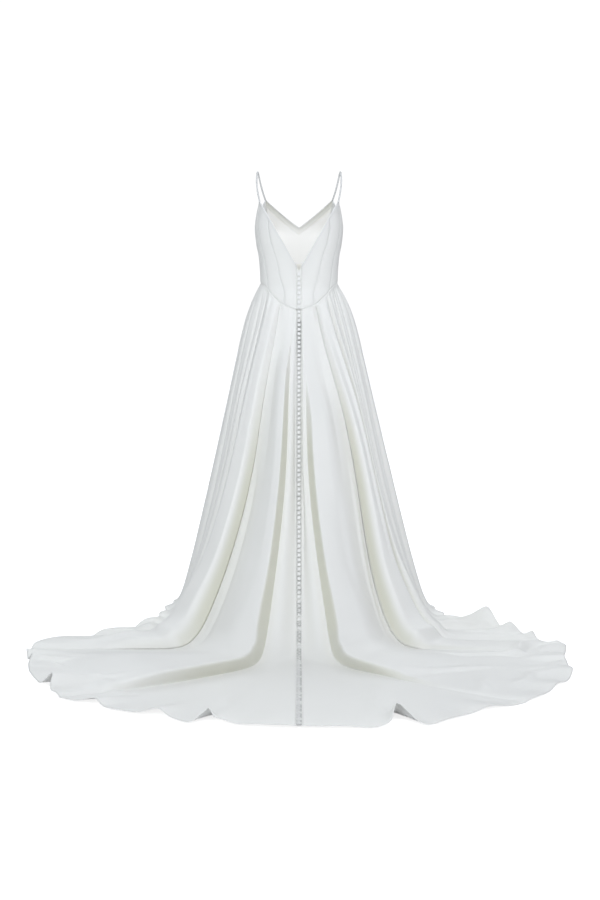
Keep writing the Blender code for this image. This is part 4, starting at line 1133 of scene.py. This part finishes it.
def cloth_material(name):
    """A cloth of the table: woven and a little uneven, stitched and shaded where the table says."""
    if name in bpy.data.materials:
        return bpy.data.materials[name]
    look = dict(zip(CLOTH_COLUMNS, CLOTHS[name]))
    light, deeper, shaded = (
        tuple(getattr(colours(), look[k])) if look[k] else None for k in ("light", "deeper", "shaded"))
    material = bpy.data.materials.new(name)
    material.use_nodes = True
    tree = material.node_tree
    shader = tree.nodes["Principled BSDF"]
    weave = tree.nodes.new("ShaderNodeGroup")
    weave.node_tree = weave_group()
    weave.inputs["Threads per metre"].default_value = look["threads"]
    mask, height = weave.outputs["Mask"], weave.outputs["Height"]
    colour = mix_colour(tree, math_node(tree, "MULTIPLY", mask, UNEVEN_TONE), light, deeper)
    if look["stitched"]:
        seam = tree.nodes.new("ShaderNodeGroup")
        seam.node_tree = stitch_group()
        shows = math_node(tree, "MULTIPLY", seam.outputs["Mask"], STITCH_SHOWS)
        colour = mix_colour(tree, shows, colour, tuple(STITCH_TONE * part for part in deeper))
        raised = math_node(tree, "MULTIPLY", seam.outputs["Height"], STITCH_HEIGHT)
        height = math_node(tree, "ADD", height, raised)
    if shaded:
        shade = tree.nodes.new("ShaderNodeAttribute")
        shade.attribute_name = "shade"
        colour = mix_colour(tree, shade.outputs["Fac"], colour, shaded)
    tree.links.new(colour, shader.inputs["Base Color"])
    spread = math_node(tree, "MULTIPLY", mask, ROUGHNESS_SPREAD)
    rough = math_node(tree, "ADD", look["roughness"] - 0.5 * ROUGHNESS_SPREAD, spread)
    tree.links.new(rough, shader.inputs["Roughness"])
    bump = tree.nodes.new("ShaderNodeBump")
    bump.inputs["Strength"].default_value = BUMP_STRENGTH
    bump.inputs["Distance"].default_value = look["weave"]
    tree.links.new(height, bump.inputs["Height"])
    tree.links.new(bump.outputs["Normal"], shader.inputs["Normal"])
    # Painted glow: the lining and facing emit their light colour, though they are no lamp
    for socket, value in (
        ("Emission Color", (*light, 1.0)), ("Emission Strength", look["glow"]),
        ("Sheen Weight", look["sheen"]), ("Sheen Roughness", 0.35),
        ("Specular IOR Level", 0.42), ("Anisotropic", 0.25),
    ):
        shader.inputs[socket].default_value = value
    return material


class DressSizes(bpy.types.PropertyGroup):
    """Sizes of the dress that a user may change."""

    skirt_cloth: FloatProperty(
        name="Skirt cloth", description="Thickness of the skirt's satin", default=0.0014,
        unit="LENGTH", precision=4)
    bodice_cloth: FloatProperty(
        name="Bodice cloth", description="Thickness of the bodice's backed satin", default=0.0020,
        unit="LENGTH", precision=4)
    lining_cloth: FloatProperty(
        name="Lining cloth", description="Thickness of the lining", default=0.0010,
        unit="LENGTH", precision=4)
    panel_crown: FloatProperty(
        name="Panel crown", description="How far a bodice panel swells between its seams",
        default=0.0012, unit="LENGTH", precision=4)
    seam_groove: FloatProperty(
        name="Seam groove", description="How deep the cloth is drawn in along a bodice seam",
        default=0.0007, unit="LENGTH", precision=4)
    binding_radius: FloatProperty(
        name="Binding", description="Radius of the narrow bindings", default=0.0016,
        unit="LENGTH", precision=4)
    strap_radius: FloatProperty(
        name="Strap", description="Radius of the spaghetti straps", default=0.0029,
        unit="LENGTH", precision=4)
    button_radius: FloatProperty(
        name="Button radius", description="Radius of a covered button", default=0.0052,
        unit="LENGTH", precision=4)
    button_height: FloatProperty(
        name="Button height", description="Height of a covered button", default=0.0046,
        unit="LENGTH", precision=4)
    button_pitch: FloatProperty(
        name="Button pitch", description="Distance from one button to the next", default=0.0150,
        unit="LENGTH", precision=4)
    loop_radius: FloatProperty(
        name="Loop cord", description="Radius of the cord of the button loops", default=0.0007,
        unit="LENGTH", precision=4)
    button_sides: IntProperty(
        name="Button sides", description="Mesh columns round a button", default=16, min=8)


class DressColours(bpy.types.PropertyGroup):
    """Colours of the dress and its stage."""

    satin: FloatVectorProperty(
        name="Satin", description="Light tone of the satin", subtype="COLOR", size=3,
        default=(0.885, 0.88, 0.835))
    satin_shade: FloatVectorProperty(
        name="Satin shade", description="Darker tone of the satin", subtype="COLOR", size=3,
        default=(0.865, 0.86, 0.81))
    # Painted highlight: a lighter copy of the satin for bindings and buttons, standing in for the light these
    # rounded parts catch
    piping: FloatVectorProperty(
        name="Piping", description="Bindings and straps", subtype="COLOR", size=3,
        default=(0.93, 0.93, 0.91))
    lining: FloatVectorProperty(
        name="Lining", description="Lining of the bodice front", subtype="COLOR", size=3,
        default=(0.88, 0.87, 0.84))
    facing: FloatVectorProperty(
        name="Facing", description="Facing along the front neck", subtype="COLOR", size=3,
        default=(0.80, 0.795, 0.75))
    # Painted shade: the colour that the placket strip and the train's buttons take where the opening's shade
    # falls
    opening_painted_shade: FloatVectorProperty(
        name="Underlay", description="Cloth behind the buttons, in the shade of the opening",
        subtype="COLOR", size=3, default=(0.60, 0.60, 0.57))
    loops: FloatVectorProperty(
        name="Loops", description="Cord of the button loops", subtype="COLOR", size=3,
        default=(0.88, 0.88, 0.86))
    straps: FloatVectorProperty(
        name="Straps", description="Spaghetti straps", subtype="COLOR", size=3,
        default=(0.74, 0.74, 0.72))
    strap_shade: FloatVectorProperty(
        name="Strap shade", description="Deeper tone of the spaghetti straps", subtype="COLOR", size=3,
        default=(0.7104, 0.7104, 0.6912))
    # Painted shade: a darker, warmer satin colour laid on the steep fold walls where their shade falls
    fold_wall_painted_shade: FloatVectorProperty(
        name="Fold walls", description="Satin on the steep walls of the folds", subtype="COLOR",
        size=3, default=(0.735, 0.73, 0.62))
    seam_shade: FloatVectorProperty(
        name="Seam shade", description="Satin beside seams and piping", subtype="COLOR", size=3,
        default=(0.66, 0.66, 0.64))
    inner_shade: FloatVectorProperty(
        name="Inner shade", description="Lining and facing where little light reaches",
        subtype="COLOR", size=3, default=(0.52, 0.52, 0.44))
    floor: FloatVectorProperty(
        name="Floor", description="Studio floor", subtype="COLOR", size=3, default=(0.93, 0.93, 0.93))


class StudioSettings(bpy.types.PropertyGroup):
    """Light of the studio."""

    fill: FloatProperty(name="Fill", description="Even light from all round", default=0.42, min=0.0)
    key: FloatProperty(name="Key", description="Strength of the large lamps", default=1.0, min=0.0)
    floor_glow: FloatProperty(
        name="Floor glow", description="Light that the white floor gives of itself", default=0.80,
        min=0.0)


def sizes():
    """The scene's dress sizes."""
    return bpy.context.scene.dress_sizes


def colours():
    """The scene's dress colours."""
    return bpy.context.scene.dress_colours


class DRESS_OT_skirt(bpy.types.Operator):
    """Build the seven gores of the skirt with its folds and train"""

    bl_idname = "dress.skirt"
    bl_label = "Skirt and train"

    def execute(self, context):
        wall = sizes().skirt_cloth
        place, share = skirt_places(), row_shares()
        points, around, walls = skirt_surface(place, share, wall)
        names = [row[0] for row in FOLDS]
        half_gap = 0.5 * SEAM_GAP
        count = len(FOLDS)
        for node, first_name, last_name in GORES:
            first, last = names.index(first_name), names.index(last_name)
            last = last if last > first else last + count
            inside = (place >= first - 1e-6) & (place <= last + 1e-6)
            grid, sideways, own = points[inside].copy(), around[inside], place[inside]
            if first_name == "centre_back":
                grid[..., 0] += np.clip(1.0 - own, 0.0, 1.0)[:, None] * (PLACKET_HALF + half_gap)
            else:
                grid[0] += half_gap * sideways[0]
            if last_name == "centre_back":
                near = np.clip(1.0 - (count - own), 0.0, 1.0)
                grid[..., 0] -= near[:, None] * (PLACKET_HALF + half_gap)
            else:
                grid[-1] -= half_gap * sideways[-1]
            gore = add_cloth(
                node + "_cloth", grid, wall, node, "satin_skirt", "satin of the skirt", "gathered",
                ["bodice_back_left", "bodice_front"], downward=True)
            set_shade(gore, walls[inside])
        return {"FINISHED"}


def seam_shade(grid, node):
    """Shade of a bodice panel beside its seams and under the piping of the V back."""
    soft = SEAM_TONE["depth"] * bell(edge_distance(grid), SEAM_TONE["width"])
    if node == "bodice_back":
        soft *= ramp(run_along(grid, 0), *SEAM_TONE["clear_of_placket"])
    if node in BACK_NECK:
        soft += sum(depth * bell(grid[:, -1:, 2] - grid[..., 2], reach) for depth, reach in NECK_TONES)
    return np.clip(soft, 0.0, 1.0)


class DRESS_OT_bodice(bpy.types.Operator):
    """Build the nine panels of the boned bodice and its placket strip"""

    bl_idname = "dress.bodice"
    bl_label = "Bodice"

    def execute(self, context):
        s = sizes()
        wall = s.bodice_cloth
        look = ("satin_bodice", "satin of the bodice", "stretched")
        for node, (first, last) in BODICE_PANELS.items():
            grid = panel_grid(first, last, -wall, s.panel_crown, s.seam_groove)
            shade = seam_shade(grid, node)
            for side, part, tone in (("left", grid, shade), ("right", mirrored(grid), shade[::-1])):
                panel = add_cloth(
                    f"{node}_{side}_cloth", part, wall, f"{node}_{side}", *look, ["skirt_front"])
                set_shade(panel, tone)
        whole = both_halves(panel_grid(*FRONT_PANEL, -wall, s.panel_crown, s.seam_groove))
        add_cloth("bodice_front_cloth", whole, wall, "bodice_front", *look, ["skirt_front"])
        angles, heights = panel_frame("middle_back", "placket", PLACKET_COLUMNS, PANEL_ROWS)
        strip = both_halves(body_point(angles, heights, -wall - PLACKET_SUNK))
        add_cloth("placket_bodice_cloth", strip, wall, "placket_bodice", *look, ["skirt_back_left"])
        return {"FINISHED"}


def inner_shade(grid, below_edge):
    """Shade inside the front: under the neck edge, most at its ends, and low behind the V back."""
    t = INNER_TONE
    x, height = np.abs(grid[..., 0]), grid[..., 2]
    outer = x / FRONT_V["peak_x"]
    reach = t["reach"] + t["more_reach"] * outer
    under = (t["depth"] + t["more_depth"] * outer) * bell(grid[:, -1:, 2] + below_edge - height, reach)
    corner = t["corner"] * bell(x, t["corner_width"]) * ramp(height, *t["corner_heights"])
    return np.clip(under + corner, 0.0, 1.0)


class DRESS_OT_lining(bpy.types.Operator):
    """Build the lining and the neck facing that show inside the bodice front"""

    bl_idname = "dress.lining"
    bl_label = "Front lining and facing"

    def execute(self, context):
        s = sizes()
        inner = -(s.bodice_cloth + LINING_GAP + s.lining_cloth)
        for node, slot, out, crown, band, rows in (
            ("front_lining", "lining", inner, LINING_CROWN, (0.5 * FACING_WIDTH, 0.0), PANEL_ROWS),
            ("front_facing", "facing", inner - FACING_PROUD, 0.0, (FACING_INSET, FACING_WIDTH),
             FACING_ROWS),
        ):
            half = panel_grid(*FRONT_PANEL, out, crown, band=band, rows=rows)
            if slot == "lining":
                half[:, 0, 2] += WAIST_CLEAR
            whole = both_halves(half)
            piece = add_cloth(
                node + "_cloth", whole, s.lining_cloth, node, slot, slot + " cloth", "stretched",
                ["bodice_front"])
            set_shade(piece, inner_shade(whole, band[0]))
        return {"FINISHED"}


def upper_line(names, out):
    """Line along the upper edges of named left panels."""
    line = []
    for name in names:
        first, last = BODICE_PANELS.get(name, FRONT_PANEL)
        angles, heights = panel_frame(first, last, PANEL_COLUMNS, EDGE_ROWS)
        line += list(body_point(angles[:, -1], heights[:, -1], out))[1 if line else 0:]
    return np.array(line)


class DRESS_OT_bindings(bpy.types.Operator):
    """Build the narrow bindings along the neck and the armholes"""

    bl_idname = "dress.bindings"
    bl_label = "Bindings"

    def execute(self, context):
        s = sizes()
        flip = np.array([-1.0, 1.0, 1.0])
        lift = np.array([0.0, 0.0, BINDING_LIFT * s.binding_radius])
        back, arm, front = (
            upper_line(names, -0.5 * s.bodice_cloth) + lift
            for names in (BACK_NECK, ARM_EDGE, ("bodice_front",)))
        lines = {"front": np.concatenate([front, front[-2::-1] * flip])}
        for kind, line in (("back", back), ("armhole", arm)):
            lines[kind + "_left"], lines[kind + "_right"] = line, line * flip
        for kind, line in lines.items():
            node = "binding_" + kind
            add_tube(node + "_piping", line, s.binding_radius, node, "satin of the piping")
        return {"FINISHED"}


class DRESS_OT_straps(bpy.types.Operator):
    """Build the two spaghetti straps"""

    bl_idname = "dress.straps"
    bl_label = "Straps"

    def execute(self, context):
        s = sizes()
        out = -0.5 * s.bodice_cloth
        sink = np.array([0.0, 0.0, STRAP_SINK])
        back = upper_line(BACK_NECK, out)[-1] - sink
        front = upper_line(("bodice_front",), out)[0] - sink
        places = np.concatenate([[back], np.array(STRAP), [front]])
        runs = run_along(places, 0)
        fine = np.linspace(0.0, runs[-1], STRAP_POINTS)
        line = np.stack([smooth(runs, places[:, k], fine) for k in range(3)], axis=1)
        for side, sign in (("left", 1.0), ("right", -1.0)):
            add_tube(
                f"strap_{side}_rouleau", line * np.array([sign, 1.0, 1.0]), s.strap_radius,
                "strap_" + side, "satin of the straps")
        return {"FINISHED"}


def lathe_button(shape, middle, across, along, outward, s):
    """Add one covered button to a bmesh, its foot at the middle."""
    rings = []
    for radius, height in BUTTON_SECTION:
        ring = []
        for corner in range(s.button_sides):
            turn = 2.0 * math.pi * corner / s.button_sides
            flat = across * math.cos(turn) + along * math.sin(turn)
            spot = middle + radius * s.button_radius * flat + height * s.button_height * outward
            ring.append(shape.verts.new(spot))
        rings.append(ring)
    top = shape.verts.new(middle + s.button_height * outward)
    for low, high in zip(rings[:-1], rings[1:]):
        for k in range(s.button_sides):
            n = (k + 1) % s.button_sides
            shape.faces.new((low[k], low[n], high[n], high[k]))
    for k in range(s.button_sides):
        shape.faces.new((rings[-1][k], rings[-1][(k + 1) % s.button_sides], top))
    shape.faces.new(rings[0][::-1])


def loop_line(middle, across, along, outward):
    """Points of a button loop from the placket's edge round the button's foot and back."""
    line = []
    for turn in np.linspace(-0.5 * math.pi, 0.5 * math.pi, LOOP["points"]):
        x = LOOP["ends"] - LOOP["reach"] * math.cos(turn)
        y = LOOP["half"] * math.sin(turn)
        out = LOOP["lift"] + LOOP["rise"] * math.cos(turn)
        line.append(middle + x * across + y * along + out * outward)
    return np.array(line)


def add_tube_to(shape, line, radius, sides=6):
    """Add a tube with rounded ends along a line to a bmesh."""
    along = unit(np.gradient(line, axis=0))
    side = unit(np.cross(along[0], np.array([0.31, 0.47, 0.83])))
    rings = []
    for k, spot in enumerate(line):
        side = unit(side - np.dot(side, along[k]) * along[k])
        up = np.cross(along[k], side)
        turns = [2.0 * math.pi * n / sides for n in range(sides)]
        rings.append([
            shape.verts.new(spot + radius * (math.cos(turn) * side + math.sin(turn) * up))
            for turn in turns])
    for low, high in zip(rings[:-1], rings[1:]):
        for n in range(sides):
            shape.faces.new((low[n], low[(n + 1) % sides], high[(n + 1) % sides], high[n]))
    shape.faces.new(rings[0][::-1])
    shape.faces.new(rings[-1])


def mesh_of(shape, name):
    """Smooth mesh of a bmesh, whose cloth map runs along its own axes."""
    bmesh.ops.recalc_face_normals(shape, faces=shape.faces)
    uv = shape.loops.layers.uv.new("cloth")
    for face in shape.faces:
        for loop in face.loops:
            loop[uv].uv = (loop.vert.co.x, loop.vert.co.z - loop.vert.co.y)
    mesh = bpy.data.meshes.new(name)
    shape.to_mesh(mesh)
    shape.free()
    mesh.shade_smooth()
    return mesh


class DRESS_OT_bodice_buttons(bpy.types.Operator):
    """Build the covered buttons and loops that close the bodice"""

    bl_idname = "dress.bodice_buttons"
    bl_label = "Bodice buttons"

    def execute(self, context):
        s = sizes()
        low = WAIST[0][1] + 0.5 * s.button_pitch
        loops = bmesh.new()
        across = np.array([1.0, 0.0, 0.0])
        for number in range(BODICE_BUTTONS):
            height = low + number * s.button_pitch
            foot = body_point(0.0, height, BUTTON_PROUD)
            outward = unit(body_point(0.0, height, 0.01) - body_point(0.0, height))
            along = np.cross(outward, across)
            shape = bmesh.new()
            lathe_button(shape, in_frame(foot), across, along, outward, s)
            name = f"button_{number + 1:02d}"
            new_object(
                name + "_covered", mesh_of(shape, name), name, "satin of the buttons")
            add_tube_to(loops, in_frame(loop_line(foot, across, along, outward)), s.loop_radius)
        name = "bodice_loops"
        new_object(name, mesh_of(loops, name), None, "loop cord")
        return {"FINISHED"}


class DRESS_OT_skirt_placket(bpy.types.Operator):
    """Build the strips, covered buttons and loops down the skirt and train"""

    bl_idname = "dress.skirt_placket"
    bl_label = "Skirt placket"

    def execute(self, context):
        s = sizes()
        nearby = centre_line(s.skirt_cloth)
        runs = run_along(nearby, 0)
        across = np.array([1.0, 0.0, 0.0])
        cells = int(runs[-1] / s.button_pitch)
        sections = {name: column(STRIP_SECTION, SECTION_COLUMNS, name) for name in SECTION_COLUMNS}
        for node, first, last in PLACKETS:
            first, last = round(first * cells), round(last * cells)
            end = runs[-1] if last == cells else last * s.button_pitch
            marks = np.linspace(first * s.button_pitch, end, CELL_ROWS * (last - first) + 1)
            line = points_along(nearby, runs, marks)
            along = unit(np.gradient(line, axis=0))
            outward = unit(np.cross(across, along))
            opened = gape(line[:, 2])[None]
            sideways, below = (
                sections[k][:, None] * (1.0 - opened) + sections["gape_" + k][:, None] * opened
                for k in ("across", "below"))
            lies = ramp(line[:, 2], *STRIP_LIES)
            below = below * (1.0 - TRAIN_FLATTER * lies[None])
            grid = line[None] + sideways[..., None] * across + below[..., None] * outward[None]
            grid[..., 2] = np.maximum(grid[..., 2], STRIP_FLOOR)
            strip = add_cloth(
                node + "_strip", grid, 0.5 * s.skirt_cloth, node, "covered_button",
                "satin of the placket", "hung", ["skirt_back_left"], downward=True)
            # Painted shade on the strip: deepest in its sunk middle, where it gapes and where it lies on the
            # train
            dark = opening_shade(line[:, 2], marks)
            hollow = np.clip(-sections["below"] / HOLLOW_DEPTH, 0.0, 1.0)
            set_shade(strip, hollow[:, None] * dark[None])
            buttons, loops, tones = bmesh.new(), bmesh.new(), []
            for k in range(CELL_ROWS // 2, CELL_ROWS * (last - first), CELL_ROWS):
                spot = line[k] + 0.5 * (line[k + 1] - line[k])
                foot = spot - (BUTTON_SINK + TRAIN_SINK * lies[k]) * outward[k]
                lathe_button(buttons, in_frame(foot), across, along[k], outward[k], s)
                # Painted shade that darkens the buttons lying on the train
                tones.append(BUTTON_PAINTED_SHADE * lies[k] * dark[k])
                loop = loop_line(spot, across, along[k], outward[k])
                add_tube_to(loops, in_frame(loop), s.loop_radius)
            for name, shape, cloth in (
                (node + "_buttons", buttons, "satin of the buttons"), (node + "_loops", loops, "loop cord")
            ):
                row = new_object(name, mesh_of(shape, name), None, cloth)
                if shape is buttons:
                    set_shade(row, np.repeat(tones, len(row.data.vertices) // len(tones)))
        return {"FINISHED"}


def opening_shade(height, marks):
    """How dark the painted shade of the closure is: darkest where it gapes, uneven on the train."""
    lies = ramp(height, *CLOSURE_LIES)
    hung = OPENING_PAINTED_SHADE["hung"] * ramp(height, *GAPE_CLOSES) * (1.0 - OPENING_PAINTED_SHADE["left_lying"] * lies)
    uneven = sum(high * np.sin(marks * turns + start) for turns, start, high in UNEVEN_WAVES)
    lying = lies * np.clip(OPENING_PAINTED_SHADE["lying"] + OPENING_PAINTED_SHADE["uneven"] * uneven, 0.0, 2.0)
    return np.clip(hung + OPENING_PAINTED_SHADE["gape"] * gape(height) + lying, 0.0, OPENING_PAINTED_SHADE["most"])


def gape(height):
    """How far the closure gapes at each height above the floor, from 0 to 1."""
    return ramp(height, *GAPE_OPENS) * ramp(height, *GAPE_CLOSES)


def centre_line(wall):
    """Centre-back line of the skirt from waist to hem, with the train's waves."""
    place, share = skirt_places(), row_shares()
    line = skirt_surface(place, share, wall)[0][0]
    runs = run_along(line, 0)
    return points_along(line, runs, np.linspace(0.0, runs[-1], LINE_POINTS))


class DRESS_OT_stage(bpy.types.Operator):
    """Build the studio: floor, even light, large lamps and the camera"""

    bl_idname = "dress.stage"
    bl_label = "Studio"

    def execute(self, context):
        scene = context.scene
        studio = scene.dress_studio
        self.lay_floor(studio.floor_glow)
        scene.world = self.light_all_round(studio.fill)
        for name, place, power, size, tint in LAMPS:
            lamp = bpy.data.lights.new(name, "AREA")
            lamp.energy = power * studio.key
            lamp.shape = "DISK"
            lamp.size = size
            lamp.color = tint
            holder = bpy.data.objects.new(name.replace(" ", "_"), lamp)
            scene.collection.objects.link(holder)
            holder.location = place
            aim = Vector(LAMPS_AIM) - holder.location
            holder.rotation_euler = aim.to_track_quat("-Z", "Y").to_euler()
        camera = bpy.data.objects.new("photo_camera", bpy.data.cameras.new("photo camera"))
        scene.collection.objects.link(camera)
        camera.location = (0.0, CAMERA_BACK, CAMERA_HEIGHT - SHOULDER_HEIGHT)
        camera.rotation_euler = (math.radians(90.0), 0.0, math.radians(180.0))
        lens, height = camera.data, PICTURE["height"]
        lens.sensor_fit = "VERTICAL"
        lens.sensor_height = SENSOR_HEIGHT
        lens.lens = SENSOR_HEIGHT * PICTURE["focal"] / height
        lens.shift_x = PICTURE["aside"] / height
        lens.shift_y = -(PICTURE["middle"] - PICTURE["horizon"]) / height
        scene.camera = camera
        scene.view_settings.view_transform = "Standard"
        scene.view_settings.look = "None"
        return {"FINISHED"}

    def lay_floor(self, own_glow):
        """Lay the white floor, which glows a little of itself."""
        bpy.ops.mesh.primitive_plane_add(size=FLOOR_SIZE, location=(0.0, 0.0, FLOOR_LEVEL - FLOOR_GAP))
        floor = bpy.context.object
        floor.name = "studio_floor"
        material = bpy.data.materials.new("studio floor")
        material.use_nodes = True
        tree = material.node_tree
        shader = tree.nodes["Principled BSDF"]
        for socket, value in (
            ("Base Color", (*colours().floor, 1.0)), ("Roughness", 0.9), ("Specular IOR Level", 0.1),
            ("Emission Color", WHITE),
        ):
            shader.inputs[socket].default_value = value
        rays = tree.nodes.new("ShaderNodeLightPath")
        glow = math_node(tree, "MULTIPLY", rays.outputs["Is Camera Ray"], own_glow)
        tree.links.new(glow, shader.inputs["Emission Strength"])
        floor.data.materials.append(material)

    def light_all_round(self, strength):
        """A world that lights evenly from all round and shows as white."""
        world = bpy.data.worlds.new("studio light")
        world.use_nodes = True
        nodes, links = world.node_tree.nodes, world.node_tree.links
        nodes.clear()
        choose, rays = nodes.new("ShaderNodeMixShader"), nodes.new("ShaderNodeLightPath")
        links.new(rays.outputs["Is Camera Ray"], choose.inputs[0])
        for place, (tint, power) in enumerate(((FILL_TINT, strength), (WHITE, BACKDROP_GLOW)), 1):
            light = nodes.new("ShaderNodeBackground")
            light.inputs["Color"].default_value = tint
            light.inputs["Strength"].default_value = power
            links.new(light.outputs[0], choose.inputs[place])
        out = nodes.new("ShaderNodeOutputWorld")
        links.new(choose.outputs[0], out.inputs["Surface"])
        return world


class DRESS_PT_sidebar(bpy.types.Panel):
    """Steps of the dress in the 3D view's sidebar"""

    bl_label = "Wedding dress"
    bl_idname = "DRESS_PT_sidebar"
    bl_space_type = "VIEW_3D"
    bl_region_type = "UI"
    bl_category = "Wedding dress"

    def draw(self, context):
        for name in STEPS:
            self.layout.operator("dress." + name)
        for group in ("dress_sizes", "dress_colours", "dress_studio"):
            settings = getattr(context.scene, group)
            box = self.layout.box()
            for name in settings.bl_rna.properties.keys():
                if name not in ("rna_type", "name"):
                    box.prop(settings, name)


STEPS = (
    "stage", "skirt", "bodice", "lining", "bindings", "straps", "bodice_buttons", "skirt_placket",
)
CLASSES = (
    DressSizes, DressColours, StudioSettings, DRESS_OT_stage, DRESS_OT_skirt, DRESS_OT_bodice,
    DRESS_OT_lining, DRESS_OT_bindings, DRESS_OT_straps, DRESS_OT_bodice_buttons,
    DRESS_OT_skirt_placket, DRESS_PT_sidebar,
)


def register():
    """Register the dress's settings, operators and panel."""
    for kind in CLASSES:
        bpy.utils.register_class(kind)
    bpy.types.Scene.dress_sizes = PointerProperty(type=DressSizes)
    bpy.types.Scene.dress_colours = PointerProperty(type=DressColours)
    bpy.types.Scene.dress_studio = PointerProperty(type=StudioSettings)


def unregister():
    """Take the settings, operators and panel away again."""
    for name in ("dress_sizes", "dress_colours", "dress_studio"):
        delattr(bpy.types.Scene, name)
    for kind in reversed(CLASSES):
        bpy.utils.unregister_class(kind)


def clear_start():
    """Remove what an empty Blender file starts with."""
    for name in ("Cube", "Light", "Camera"):
        thing = bpy.data.objects.get(name)
        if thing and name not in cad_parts:
            bpy.data.objects.remove(thing, do_unlink=True)


def main():
    """Build the dress and its studio."""
    register()
    clear_start()
    for name in STEPS:
        getattr(bpy.ops.dress, name)()


if __name__ == "__main__":
    main()
